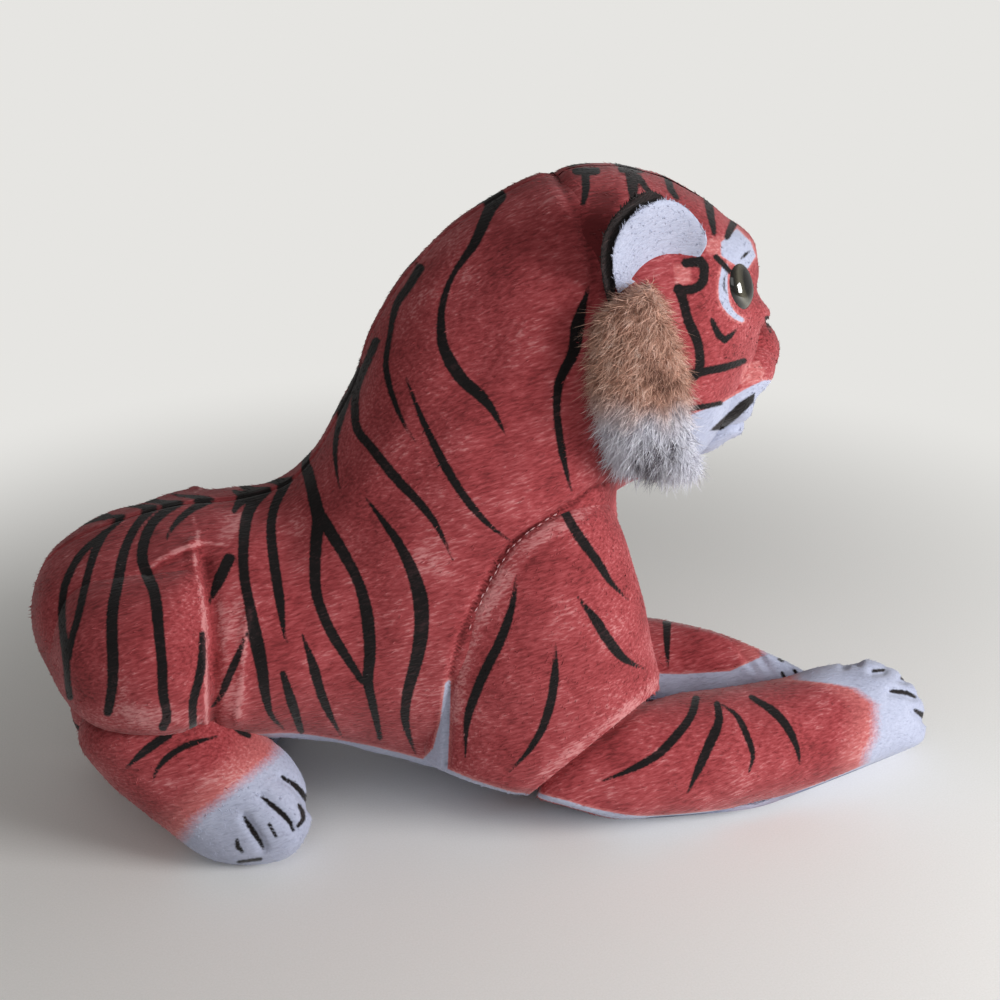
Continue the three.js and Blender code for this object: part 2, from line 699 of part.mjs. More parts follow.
// Muzzle, chin and nose
function facePlace(xShare, zShare) {
  const [x, z] = [neckSeamX + xShare * headLength, throatZ + zShare * headHeight];
  return { side: 1, origin: new THREE.Vector3(x, 0, z) };
}
const muzzleSize = { length: muzzleLength, height: muzzleHeight, width: muzzleWidth };
const muzzleForm = form(muzzleShares, muzzleSize, facePlace(muzzleXShare, muzzleZShare));
const muzzleRoom = body(muzzleForm, faceSides, gap);
const chinSize = { length: chinLength, height: chinHeight, width: chinWidth };
const chinForm = form(chinShares, chinSize, facePlace(chinXShare, chinZShare));
add("muzzle_cover", shell(muzzleForm, faceSides).subtract(headRoom), redPlush);
add("muzzle_filling", filling(muzzleForm, faceSides).subtract(headRoom), fibrefill);
add("chin", body(chinForm, faceSides).subtract(headRoom).subtract(muzzleRoom), whitePlush);
const nose = new THREE.SphereGeometry(1, noseSides, noseSides / 2);
nose.scale(noseLength / 2, noseWidth / 2, noseHeight / 2);
const nosePoint = facePlace(noseXShare, noseZShare).origin;
nose.translate(nosePoint.x, nosePoint.y, nosePoint.z);
add("nose", solidOf(nose).subtract(muzzleRoom).subtract(headRoom), redPlush);

// Cheek ruffs and ears
function earSheet(side, depth, grow) {
  const rows = [];
  for (let i = 0; i <= earRows; i += 1) {
    const rise = i / earRows;
    const halfWidth = (earWidth / 2 + grow) * Math.sqrt(1 - rise ** earRoundness);
    const row = [];
    for (let j = 0; j <= earColumns; j += 1) {
      const x = ((2 * j) / earColumns - 1) * halfWidth;
      const z = rise * (earHeight + 2 * grow) - grow;
      const cupAcross = Math.max(0, 1 - ((2 * x) / earWidth) ** 2);
      const cupUp = Math.max(0, 1 - (Math.max(z, 0) / earHeight) ** 2);
      row.push(new THREE.Vector3(x, side * (depth - earCup * cupAcross * cupUp), z));
    }
    rows.push(row);
  }
  return rows;
}

sides.forEach(([name, side]) => {
  const earLean = THREE.MathUtils.degToRad(side > 0 ? leftEarLean : rightEarLean);
  const lean = new THREE.Matrix4().makeRotationX(-side * earLean);
  const rise = new THREE.Matrix4().makeRotationY(-THREE.MathUtils.degToRad(earRise));
  const turn = new THREE.Matrix4().makeRotationZ(-side * THREE.MathUtils.degToRad(earTurn));
  const root = facePlace(earXShare, earZShare).origin;
  root.y = side * earYShare * headWidth;
  const place = new THREE.Matrix4().makeTranslation(root).multiply(turn).multiply(rise).multiply(lean);
  const axis = new THREE.Vector3(1, 0, 0).transformDirection(place);
  const clearOfEar = (solid, neighbour) => {
    const swept = earFold + earFoldSpare;
    return clearOfSwing(solid, [neighbour], axis, root, -swept, swept, foldSteps);
  };
  const lining = sheet(earSheet(side, earLayer, 0), earSheet(side, 0, 0));
  const back = sheet(earSheet(side, -gap, earRim), earSheet(side, -gap - earLayer, earRim));
  add(`ear_lining_${name}`, clearOfEar(moved(lining, place), headRoom), whitePlush);
  add(`ear_back_${name}`, clearOfEar(moved(back, place), headRoom), blackPlush);

  const earRoomFront = earSheet(side, earLayer + 4 * gap, earRim + 2 * gap);
  const earRoom = sheet(earRoomFront, earSheet(side, -earLayer - 3 * gap, earRim + 2 * gap));
  const ruffPlace = facePlace(ruffXShare, ruffZShare);
  ruffPlace.side = side;
  ruffPlace.origin.y = side * ruffYShare * headWidth;
  const ruffSize = { length: ruffLength, height: ruffHeight, width: ruffWidth };
  const ruff = inFront(body(form(ruffShares, ruffSize, ruffPlace), faceSides));
  const ruffOnHead = ruff.subtract(headRoom).subtract(muzzleRoom);
  add(`cheek_ruff_${name}`, clearOfEar(ruffOnHead, moved(earRoom, place)), tanPile);
});

// The origin is on the floor, under the middle of the whole tiger
const extent = new THREE.Box3().setFromObject(tiger);
const centre = extent.getCenter(new THREE.Vector3());
tiger.position.set(-centre.x, -centre.y, -extent.min.z);
tiger.updateMatrixWorld(true);

export default tiger;
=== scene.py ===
"""Plush tiger: sewn velboa skins, long pile and glossy eyes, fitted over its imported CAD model.

Lengths are millimetres in the toy's own frame until a mesh is made: x forwards from the middle,
y to the left of the mid-plane, z up from the floor. Values named share are shares of a length.
Places that are read off the photograph are pixels of its 1000 x 1000 frame.
"""

import math

import bpy
import numpy as np
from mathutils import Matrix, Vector


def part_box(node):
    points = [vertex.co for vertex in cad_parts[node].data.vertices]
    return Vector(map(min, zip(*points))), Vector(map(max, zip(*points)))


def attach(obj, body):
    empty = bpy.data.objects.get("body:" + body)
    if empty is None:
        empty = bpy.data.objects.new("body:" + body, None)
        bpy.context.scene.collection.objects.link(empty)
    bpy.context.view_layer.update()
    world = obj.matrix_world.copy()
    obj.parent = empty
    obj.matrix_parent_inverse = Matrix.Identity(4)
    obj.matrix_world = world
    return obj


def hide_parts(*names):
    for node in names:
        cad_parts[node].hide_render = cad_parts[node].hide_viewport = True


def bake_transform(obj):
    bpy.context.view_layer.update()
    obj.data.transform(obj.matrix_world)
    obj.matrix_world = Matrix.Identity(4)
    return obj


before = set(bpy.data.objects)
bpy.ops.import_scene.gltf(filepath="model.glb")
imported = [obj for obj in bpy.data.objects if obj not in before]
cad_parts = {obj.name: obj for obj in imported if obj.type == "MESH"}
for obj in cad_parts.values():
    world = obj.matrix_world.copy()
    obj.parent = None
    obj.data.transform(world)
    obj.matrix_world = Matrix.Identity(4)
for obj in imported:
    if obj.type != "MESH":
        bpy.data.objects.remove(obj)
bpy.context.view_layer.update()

MM = 0.001

# The toy's own frame: the rump and the mid-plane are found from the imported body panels
rump_x = -151.0
right_low, right_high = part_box("body_panel_right")
left_low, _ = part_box("body_panel_left")
toy_shift = np.array([right_low.x / MM - rump_x, (right_high.y + left_low.y) / (2 * MM), 0.0])

# Camera of the photograph
frame_px = 1000
focal_px = 1364.0
sensor_mm = 36.0
camera_azimuth = math.radians(-10)
camera_elevation = math.radians(24)
camera_distance = 446.0
camera_target = np.array([0.0, 0.0, 104.0])
camera_back = np.array([
    math.sin(camera_azimuth) * math.cos(camera_elevation),
    -math.cos(camera_azimuth) * math.cos(camera_elevation),
    math.sin(camera_elevation),
])
camera_place = camera_target + camera_back * camera_distance
camera_right = np.cross(-camera_back, [0.0, 0.0, 1.0])
camera_right /= np.linalg.norm(camera_right)
camera_up = np.cross(camera_right, -camera_back)

# Cloth and sewing
skin_step = 1.15
lump_height = 0.55
lump_width = 26.0
lump_pitch_shares = (0.6, 1.6)
hem_depth = 2.2
seam_valley = 0.9
seam_reach = 2.2
underside_valley = 0.5
underside_valley_reach = 1.5
neck_valley = 0.5
crown_valley = 0.4
# How far a skin ends from a cut between two bodies, from its own other half, and from the neck and floor
cut_gap = 0.1
half_gap = 0.05
neck_overlap = 0.2
ruff_neck_gap = 0.3
panel_floor = 0.3
# How far past a cut its pile still grows
pile_margin = 0.5
crown_margin = 0.3

# Sizes of the forms, as in the CAD: length, height and width
body_size = (200.0, 210.0, 88.0)
neck_x = 17.0
throat_z = 0.495 * body_size[1]
floor_flat = 0.5

head_size = (66.0, 107.0, 77.0)
muzzle_size = (39.0, 34.0, 48.0)
chin_size = (31.0, 19.0, 38.0)
ruff_size = (40.0, 70.0, 26.0)
arm_size = (80.0, 120.0, 42.0)
foreleg_size = (143.0, 41.0, 41.0)
haunch_size = (55.0, 58.0, 56.0)
foot_size = (72.0, 66.0, 37.0)
tail_diameter = 14.0

# Ring tables, as in the CAD. A row is: upper x, upper z, lower x, lower z, y of the middle, half width.
body_shares = [
    [0.0, 0.36, 0.0, 0.36, 0, 0],
    [0.02, 0.44, 0.03, 0.275, 0, 0.45],
    [0.06, 0.48, 0.075, 0.22, 0, 0.7],
    [0.135, 0.51, 0.16, 0.175, 0, 0.88],
    [0.24, 0.526, 0.255, 0.15, 0, 0.95],
    [0.335, 0.53, 0.36, 0.14, 0, 0.93],
    [0.405, 0.546, 0.47, 0.11, 0, 0.91],
    [0.452, 0.586, 0.59, 0.065, 0, 0.93],
    [0.49, 0.642, 0.71, 0.018, 0, 0.98],
    [0.524, 0.704, 0.835, 0.012, 0, 1.0],
    [0.554, 0.776, 0.93, 0.048, 0, 0.98],
    [0.591, 0.838, 0.97, 0.162, 0, 0.93],
    [0.637, 0.891, 0.965, 0.286, 0, 0.89],
    [0.696, 0.94, 0.95, 0.4, 0, 0.85],
    [0.763, 0.981, 0.935, 0.49, 0, 0.83],
    [0.845, 1.0, 0.94, 0.57, 0, 0.82],
    [0.93, 0.97, 0.97, 0.66, 0, 0.7],
    [0.99, 0.8, 0.99, 0.8, 0, 0],
]
head_shares = [
    [-0.3, 0.5, -0.3, 0.5, 0, 0],
    [-0.2, 0.92, -0.2, 0.1, 0, 0.8],
    [0.0, 0.988, 0.0, 0.028, 0, 0.935],
    [0.21, 1.005, 0.21, 0.0, 0, 0.985],
    [0.39, 0.985, 0.39, 0.01, 0, 1.0],
    [0.56, 0.95, 0.56, 0.06, 0, 0.95],
    [0.7, 0.9, 0.7, 0.13, 0, 0.83],
    [0.81, 0.84, 0.81, 0.24, 0, 0.68],
    [0.9, 0.776, 0.9, 0.35, 0, 0.5],
    [0.955, 0.706, 0.955, 0.43, 0, 0.33],
    [0.985, 0.64, 0.985, 0.5, 0, 0.17],
    [1.0, 0.57, 1.0, 0.57, 0, 0],
]
muzzle_shares = [
    [0.0, 0.5, 0.0, 0.5, 0, 0],
    [0.08, 0.85, 0.08, 0.15, 0, 0.75],
    [0.3, 1.0, 0.3, 0.02, 0, 1.0],
    [0.55, 1.0, 0.55, 0.02, 0, 0.98],
    [0.79, 0.97, 0.77, 0.13, 0, 0.84],
    [0.93, 0.9, 0.88, 0.31, 0, 0.6],
    [0.99, 0.82, 0.955, 0.48, 0, 0.32],
    [1.0, 0.68, 1.0, 0.68, 0, 0],
]
chin_shares = [
    [0.0, 0.5, 0.0, 0.5, 0, 0],
    [0.1, 0.85, 0.1, 0.2, 0, 0.65],
    [0.35, 1.0, 0.35, 0.0, 0, 0.95],
    [0.65, 1.0, 0.65, 0.02, 0, 1.0],
    [0.88, 0.85, 0.88, 0.2, 0, 0.7],
    [1.0, 0.5, 1.0, 0.5, 0, 0],
]
ruff_shares = [
    [0.55, 1.0, 0.55, 1.0, 0.2, 0],
    [0.28, 0.93, 0.78, 0.96, 0.25, 0.45],
    [0.08, 0.78, 0.82, 0.82, 0.3, 0.75],
    [0.0, 0.6, 0.86, 0.62, 0.33, 0.95],
    [0.02, 0.43, 0.84, 0.42, 0.33, 1.0],
    [0.12, 0.27, 0.9, 0.24, 0.28, 0.95],
    [0.22, 0.12, 1.0, 0.1, 0.2, 0.8],
    [0.34, 0.02, 0.94, 0.01, 0.12, 0.5],
    [0.62, 0.0, 0.62, 0.0, 0.1, 0],
]
arm_shares = [
    [0.45, 1.0, 0.45, 1.0, 0.01, 0],
    [0.21, 0.958, 0.61, 0.965, 0.03, 0.68],
    [0.055, 0.863, 0.68, 0.89, 0.05, 0.78],
    [-0.045, 0.73, 0.74, 0.77, 0.07, 0.88],
    [-0.095, 0.563, 0.8, 0.62, 0.1, 0.95],
    [-0.1, 0.396, 0.85, 0.47, 0.12, 1.0],
    [-0.1, 0.238, 0.9, 0.33, 0.14, 1.0],
    [0.05, 0.108, 0.94, 0.2, 0.16, 0.97],
    [0.275, 0.037, 0.93, 0.09, 0.16, 0.82],
    [0.56, 0.0, 0.85, 0.02, 0.16, 0.5],
    [0.7, 0.0, 0.7, 0.0, 0.16, 0],
]
foreleg_shares = [
    [0.0, 0.4, 0.0, 0.4, 0, 0],
    [0.07, 0.81, 0.02, 0.14, 0, 0.66],
    [0.19, 1.0, 0.12, 0.03, 0, 0.92],
    [0.35, 1.0, 0.3, 0.0, 0, 1.0],
    [0.56, 0.96, 0.55, 0.0, 0, 0.99],
    [0.735, 0.99, 0.735, 0.0, 0, 0.96],
    [0.835, 0.95, 0.85, 0.0, 0, 0.92],
    [0.91, 0.82, 0.935, 0.02, 0, 0.78],
    [0.965, 0.64, 0.98, 0.12, 0, 0.5],
    [1.0, 0.36, 1.0, 0.36, 0, 0],
]
haunch_shares = [
    [0.0, 0.5, 0.0, 0.5, -0.01, 0],
    [0.06, 0.72, 0.1, 0.24, 0.01, 0.46],
    [0.19, 0.89, 0.24, 0.1, 0.06, 0.77],
    [0.42, 0.985, 0.46, 0.015, 0.1, 0.96],
    [0.69, 1.0, 0.72, 0.0, 0.12, 1.0],
    [0.88, 0.9, 0.88, 0.13, 0.11, 0.85],
    [0.97, 0.72, 0.97, 0.3, 0.09, 0.5],
    [1.0, 0.5, 1.0, 0.5, 0.07, 0],
]
foot_shares = [
    [0.17, 0.94, 0.17, 0.94, 0.24, 0],
    [0.42, 1.0, 0.0, 0.73, 0.24, 0.85],
    [0.555, 0.89, 0.1, 0.5, 0.26, 0.97],
    [0.695, 0.73, 0.265, 0.29, 0.3, 1.0],
    [0.82, 0.59, 0.43, 0.09, 0.34, 1.0],
    [0.905, 0.5, 0.61, 0.0, 0.39, 0.95],
    [0.95, 0.39, 0.8, 0.0, 0.43, 0.78],
    [0.965, 0.29, 0.91, 0.07, 0.45, 0.46],
    [0.965, 0.18, 0.965, 0.18, 0.47, 0],
]
tail_route_shares = [
    [0.11, 0.01, 0.215],
    [0.065, 0.1, 0.14],
    [0.066, 0.28, 0.04],
    [0.085, 0.53, 0.0],
    [0.16, 0.74, 0.0],
    [0.28, 0.86, 0.0],
    [0.4, 0.87, 0.0],
]

# Where the pieces start: right is side -1 and left is side +1
arm_start = {-1: rump_x + 129.0, 1: rump_x + 117.0}
foreleg_start = {-1: rump_x + 161.0, 1: rump_x + 128.0}
turn_in = {-1: 23.0, 1: 28.0}
turn_power = 1.8
arm_spread = 0.3 * body_size[2]
foreleg_spread = 0.41 * body_size[2]
haunch_spread = 0.2 * body_size[2]
haunch_start = rump_x + 6.0
haunch_floor = 42.0
foot_start = rump_x + 13.0
hock_z = 57.08
elbow_share = 0.9
elbow_height_share = 0.365
underside_share = 0.3
underside_rise = 0.4

# Sides, how finely the skins are worked out, and the belly gusset
sides = ((-1, "right"), (1, "left"))
tiny = 1e-9
grid_end = 1e-6
far_away = 99.0
path_fineness = 24
lump_waves = 9
head_step = 1.0
face_step = 0.75
foot_step = 0.88
ruff_step = 1.2
panel_columns = 184
belly_columns = 50
belly_from_share = 0.16
belly_to_share = 0.57
belly_half_angle = 0.62
belly_point_power = 0.6
least_gusset = 0.02

# Pile, how full a padded piece is, and a tuft's width in a chart
pile_sink = 0.3
spike_rise = 0.32
pile_floor = 1.8
# The upper arm's and the haunch's pile stops at this depth in the body, but not on the arm's front
hidden_depth = 6.0
arm_front = 52.0
length_spread_shares = (0.65, 1.25)
width_spread_shares = (0.7, 1.3)
taper_power = 1.5
stuffing_share = 0.9
ear_stuffing_share = 0.5
chart_width = 0.0015

# Print, stitches and white cloth
# The cloth between the tufts is painted a little darker: painted shade
painted_shade_between_tufts = -0.1
mark_step = 7.0
point_width = 3.0
point_share = 0.4
print_growth = 1.32
stitch_gap_px = 8.0
stitch_length = 2.0
stitch_width = 0.55
stitch_lift = 0.35
stitch_pale = 0.42
stitch_shade = 1.0
far_leg_band = 4.0
toe_spread = 0.4
face_growth = 1.2
white_edge = 0.5
no_white = -1.0
all_white = 2.0
print_side_share = 0.3
cloth_edge_softness = 0.9
paw_fade = 10.0
foot_fade = 14.0
face_softness = 0.9
blush_share = 0.3

# Toes, ruff, nose and head
toe_depth = 1.5
toe_reach = 1.6
toe_count = 3
ruff_skin_drop = 3.0
ruff_white_from = 392.0
ruff_white_span = 40.0
ruff_white_unevenness = 0.25
ruff_white_wave = 9.0
ruff_inner = 22.0
nose_shares = (0.93, 0.44)
nose_form_size = (25.0, 27.0, 23.0)
nose_rows = 20
nose_columns = 36
nose_shade = -0.4
muzzle_place_shares = (0.495, 0.2)
chin_place_shares = (0.49, 0.135)
ruff_place_shares = (0.0, 0.152)
ruff_side_share = 0.4
head_lump_height = 0.4
head_lump_width = 22.0

# Tail
tail_columns = 40
tail_ring_gap = 16.0
tail_ring_width = 4.4
tail_ring_start = 4.0
tail_ring_unevenness = 0.8
tail_ring_wave = 9.0
tail_tip_length = 9.0
tail_least_share = 0.001

# Ears: their sizes and angles are those of the CAD
ear_width = 33.0
ear_height = 28.0
ear_cup = 6.0
ear_layer = 2.4
ear_rim = 1.6
ear_gap = 0.35
ear_lean = {-1: math.radians(16), 1: math.radians(74)}
ear_rise = math.radians(27)
ear_turn = math.radians(14)
ear_roundness = 2.5
ear_rows = 44
ear_columns = 50
# The outlines of its lining and back, which are this scene's own, and its place on the head
lining_inset = 2.8
lining_face_grow = 0.6
rim_inset = 1.0
back_face_inset = 3.0
lobe_root_share = 0.75
lobe_rise = 0.3
lobe_drop = 7.0
ear_row_power = 0.9
lobe_power = 0.8
ear_rim_power = 8
ear_place_shares = (0.36, 0.76)
ear_side_share = 0.42
lining_shade = 0.5

# Eyes
eye_rings = 14
eye_columns = 48
eye_back = 0.8
eye_sink = 1.3
eye_dome_share = 0.55
eye_turn = math.radians(8)
eye_shift = np.array([-0.8, 0.0, 0.0])
eye_reach_share = 0.97
eye_rim_share = 0.9
eye_foot_share = 0.9
eye_pole = 0.02
iris_grain = 0.6

# Finish: sizes of what each pattern shows
fleck_length = 3.6
fleck_width = 0.75
nap_slope = math.radians(14)
patch_width = 14.0
tuft_width = 0.8
clump_width = 3.0
flow_width = 3.0
paper_grain = 0.6
print_roughness = 0.6
print_edge = 0.3
print_softness = 0.25
pale_roughness = 0.3

# Floor and light
floor_size = 4000.0
floor_near = 170.0
floor_far = 440.0
backdrop_colour = "#e6e5e2"
fill_strength = 0.28
front_lamp_place = (560, -430, 300)
front_lamp_size = 290
front_lamp_power = 4.9
side_lamp_place = (-250, -900, 900)
side_lamp_size = 700
side_lamp_power = 1.6

# Markings, read off the photograph: pixel places along each mark, and its widths in pixels.
# A mark ends in a point where its last width is small.
body_stripes = [
    ([(500, 196), (490, 209), (474, 244), (454, 273), (443, 302), (441, 329), (445, 351), (461, 378),
      (483, 398), (496, 416), (505, 435)], [10, 8, 4, 6, 10, 9, 2]),
    ([(420, 268), (409, 286), (396, 306), (389, 340), (386, 362), (389, 384), (398, 411), (407, 429),
      (416, 443)], [7, 6, 4, 5, 4, 2]),
    ([(376, 341), (369, 358), (357, 387), (355, 413), (358, 431), (371, 447), (394, 476), (423, 507),
      (439, 530), (453, 560)], [6, 6, 7, 8, 6, 2]),
    ([(356, 382), (347, 400), (338, 429), (335, 451), (337, 474), (340, 489)], [5, 5, 4, 2]),
    ([(406, 378), (418, 409), (432, 440), (451, 476), (470, 504), (489, 525), (512, 542)], [3, 5, 7, 6,
      2]),
    ([(300, 458), (304, 465), (307, 469), (314, 497), (319, 518)], [9, 9, 11]),
    ([(319, 518), (316, 544), (315, 580), (319, 603), (331, 632), (347, 658), (362, 681)], [10, 9, 8, 8,
      5]),
    ([(317, 512), (326, 525), (345, 556), (359, 584), (367, 615), (370, 651), (368, 681), (373, 705),
      (380, 738)], [10, 9, 8, 10, 9, 7, 4]),
    ([(366, 498), (383, 521), (399, 544), (413, 573), (421, 603), (421, 634), (416, 662), (408, 691),
      (405, 714), (408, 733), (416, 754)], [3, 6, 9, 12, 11, 9, 7, 3]),
    ([(302, 634), (312, 662), (321, 693), (331, 717), (342, 737)], [3, 8, 7, 3]),
    ([(294, 470), (288, 480), (275, 505), (271, 531), (275, 569), (280, 602), (284, 633), (287, 643)],
      [7, 7, 8, 8, 3]),
    ([(274, 478), (267, 488), (250, 508), (244, 536), (244, 574), (250, 607), (256, 638), (262, 669),
      (265, 692), (271, 715), (285, 730)], [9, 9, 8, 8, 11, 8, 3]),
    ([(283, 674), (290, 697), (295, 712), (301, 731)], [5, 8, 5]),
    ([(262, 482), (255, 490), (239, 503), (234, 511)], [9, 9, 4]),
    ([(229, 559), (219, 580), (209, 604)], [9, 9, 3]),
    ([(246, 633), (239, 653), (229, 676), (219, 699), (210, 708)], [3, 6, 6, 3]),
    ([(202, 633), (202, 659), (199, 679), (193, 702), (193, 727)], [4, 7, 7, 6]),
    ([(206, 484), (193, 495), (163, 513), (148, 531), (142, 556), (148, 577), (155, 595), (159, 633),
      (162, 664), (163, 692), (167, 717), (163, 727)], [5, 6, 8, 9, 9, 8, 8, 7]),
    ([(180, 490), (165, 500), (140, 521), (125, 549), (118, 582), (113, 607), (112, 633), (113, 664),
      (112, 689), (108, 712)], [5, 6, 8, 9, 9, 7]),
    ([(144, 502), (130, 513), (104, 534), (81, 554), (66, 582), (62, 607), (63, 633), (66, 659),
      (68, 684), (70, 697)], [3, 5, 6, 6, 5]),
    ([(104, 534), (94, 554), (86, 582), (79, 613), (72, 638), (68, 659)], [6, 6, 5]),
    ([(230, 488), (221, 495), (199, 505), (183, 516), (170, 531), (165, 544)], [6, 6, 5, 2]),
    ([(589, 286), (579, 320), (574, 351), (563, 373), (558, 387), (557, 413), (561, 445), (567, 474),
      (572, 493)], [3, 11, 8, 6, 6, 2]),
]
arm_stripes = [
    ([(517, 575), (512, 606), (501, 639), (486, 669), (475, 695), (467, 721), (465, 757)], [3, 7, 8, 7, 3]),
    ([(555, 643), (555, 674), (550, 705), (541, 731), (526, 754), (508, 773)], [3, 7, 7, 5, 2]),
    ([(564, 511), (578, 535), (597, 561), (609, 580), (620, 592), (628, 600)], [7, 8, 6, 3]),
    ([(577, 596), (597, 622), (604, 634), (623, 658), (645, 669)], [3, 8, 8, 3]),
]
forearm_stripes = [
    ([(696, 699), (691, 716), (676, 736), (657, 755), (630, 770), (602, 781)], [6, 7, 6, 3]),
    ([(717, 704), (719, 721), (710, 743), (698, 770), (687, 794)], [5, 8, 7, 2]),
    ([(721, 704), (737, 716), (747, 736), (753, 755), (749, 772)], [3, 5, 5, 3]),
    ([(751, 697), (773, 711), (788, 728), (797, 748), (800, 765)], [4, 7, 6, 3]),
]
far_forearm_stripes = [
    ([(667, 617), (667, 644), (668, 670)], [7, 5, 3]),
]
foot_stripes = [
    ([(168, 735), (145, 751), (125, 769)], [7, 7, 3]),
    ([(218, 736), (188, 745), (168, 757), (156, 771), (153, 783)], [3, 5, 5, 3]),
    ([(232, 720), (240, 730), (249, 736)], [7, 7, 4]),
]
foot_toe_lines = [
    ([(282, 777), (297, 787), (307, 801), (312, 809)], [2, 3, 3, 2]),
    ([(262, 797), (279, 811), (289, 821), (293, 830)], [2, 3, 3, 2]),
    ([(244, 817), (251, 828), (259, 840), (263, 848)], [2, 3, 3, 2]),
    ([(299, 805), (304, 817), (298, 826)], [3, 3, 2]),
    ([(269, 824), (276, 836)], [3, 3]),
    ([(237, 840), (238, 847), (243, 852)], [3, 3, 2]),
    ([(238, 862), (261, 859)], [2, 2]),
]
paw_toe_lines = [
    ([(844, 664), (851, 660), (858, 661)], [2, 3, 2]),
    ([(873, 671), (884, 670)], [3, 2]),
    ([(891, 691), (907, 693), (915, 697)], [3, 3, 2]),
    ([(915, 710), (922, 715), (926, 721)], [3, 3, 2]),
    ([(902, 678), (906, 680)], [3, 3]),
]
far_paw_toe_lines = [
    ([(782, 673), (787, 682)], [3, 2]),
    ([(779, 659), (783, 661)], [3, 2]),
    ([(794, 670), (797, 674)], [3, 2]),
]
head_stripes = [
    ([(576, 171), (596, 171)], [7, 7]),
    ([(585, 173), (586, 188), (583, 204)], [7, 7, 4]),
    ([(623, 168), (640, 168)], [9, 9]),
    ([(631, 173), (633, 190), (633, 205)], [10, 9, 4]),
    ([(638, 177), (652, 196)], [6, 4]),
    ([(668, 180), (671, 190), (677, 198)], [6, 6, 4]),
    ([(707, 196), (711, 216), (714, 233)], [7, 7, 4]),
    ([(738, 214), (732, 226), (727, 237)], [7, 7, 5]),
    ([(741, 259), (746, 254), (750, 251)], [2, 3, 2]),
    ([(716, 257), (723, 264), (730, 272)], [5, 5, 4]),
    ([(725, 274), (724, 288), (728, 295)], [2, 2, 2]),
    ([(686, 263), (702, 262), (704, 272), (702, 284), (690, 290), (678, 290)], [8, 9, 8, 8, 8, 8]),
    ([(678, 288), (683, 300), (688, 320), (697, 340), (700, 360), (697, 375), (681, 378)], [8, 8, 9, 8,
      8, 6]),
    ([(675, 377), (690, 374), (707, 371), (726, 367), (744, 361)], [7, 7, 7, 5]),
    ([(712, 320), (718, 334), (725, 340), (737, 329)], [4, 6, 6, 3]),
    ([(682, 409), (702, 407), (721, 403)], [5, 5, 4]),
    ([(767, 318), (769, 326), (771, 334)], [4, 4, 3]),
]
mouth_mark = [(709, 431), (724, 417), (741, 401), (755, 393), (754, 402), (739, 417), (722, 430)]
white_brow = [(721, 242), (737, 228), (751, 242), (756, 256), (748, 269), (735, 265), (721, 256)]
white_under_eye = ([(725, 267), (723, 288), (726, 305), (736, 317), (742, 320)], [7, 9, 10, 7, 5])
white_jaw = [(764, 380), (745, 389), (723, 402), (700, 411), (681, 418), (681, 438), (664, 470), (700, 500),
             (760, 480), (800, 430), (796, 380)]
blush_patches = [
    [(707, 252), (707, 241), (721, 237), (721, 253)],
    [(742, 384), (744, 366), (758, 362), (764, 372), (760, 384)],
    [(675, 265), (689, 266), (690, 282), (677, 284)],
]
near_paw_edge = [(790, 640), (794, 680), (826, 683), (852, 688), (873, 704), (873, 736), (863, 755),
    (858, 800)]
foot_fade_edge = [(150, 880), (194, 817), (218, 799), (247, 775), (271, 755), (300, 700)]
far_paw_edge = [(762, 600), (762, 655), (778, 668), (770, 720)]

# Seams, folds, white edges, and lines of painted shade and painted highlight, as pixel lines
shoulder_seam = [(605, 485), (595, 487), (564, 508), (536, 525), (512, 543), (496, 566), (479, 596),
    (465, 625), (456, 655), (451, 681), (449, 721), (447, 764)]
neck_seam = [(555, 172), (565, 192), (578, 215), (587, 235), (592, 262), (594, 284), (584, 320), (570, 356),
             (558, 387)]
belly_edge = ([(255, 737), (300, 737), (360, 749), (420, 767), (447, 777), (480, 788), (530, 802),
    (560, 810)], [6, 7, 9, 14, 18, 12, 10, 8])
shoulder_wedge = [(451, 678), (445, 683), (440, 721), (433, 748), (423, 759), (420, 775), (447, 785),
    (450, 721)]
forearm_edge = ([(520, 795), (560, 806), (600, 817), (650, 824), (696, 820), (756, 810), (792, 800),
    (851, 780), (900, 757)], [12, 14, 14, 14, 12, 11, 12, 14, 16])
far_underside = [(640, 673), (681, 674), (730, 671), (761, 657), (780, 650), (810, 660), (800, 720),
    (640, 720)]
# A lighter band on the arm beside the shoulder seam: painted highlight
seam_highlight_band = ([(598, 500), (570, 519), (545, 534), (522, 552), (505, 576), (489, 604), (475, 634),
    (465, 664), (459, 692), (456, 720)], [5, 6, 8, 10, 9, 7, 6, 5, 4, 3])
haunch_fold = [(192, 545), (198, 575), (203, 605), (205, 640), (206, 680), (207, 724)]
haunch_crease = [(205, 560), (211, 600), (214, 645), (214, 690), (213, 724)]
dart = [(148, 573), (165, 563), (183, 555), (201, 548)]
dart_edge = [(150, 567), (166, 557), (184, 549), (200, 542)]
flank_ridge = [(250, 610), (246, 640), (242, 680), (238, 718)]
hip_ridge = [(194, 518), (197, 532), (200, 548)]
hip_fold = [(170, 552), (188, 546), (205, 543), (222, 545)]
body_folds = [
    (shoulder_seam, -1.0, 1.2), (neck_seam, -0.7, 1.6), (haunch_fold, 1.1, 2.0), (haunch_crease, -2.0, 2.2),
    (dart, -0.9, 1.4), (dart_edge, 0.6, 1.5), (flank_ridge, 0.9, 1.8), (hip_ridge, 0.1, 1.4),
    (hip_fold, 0.15, 1.6),
]
arm_folds = [(shoulder_seam, -1.0, 1.2)]
head_folds = [(neck_seam, -0.7, 1.6)]
elbow_seam = [(661, 687), (532, 792)]
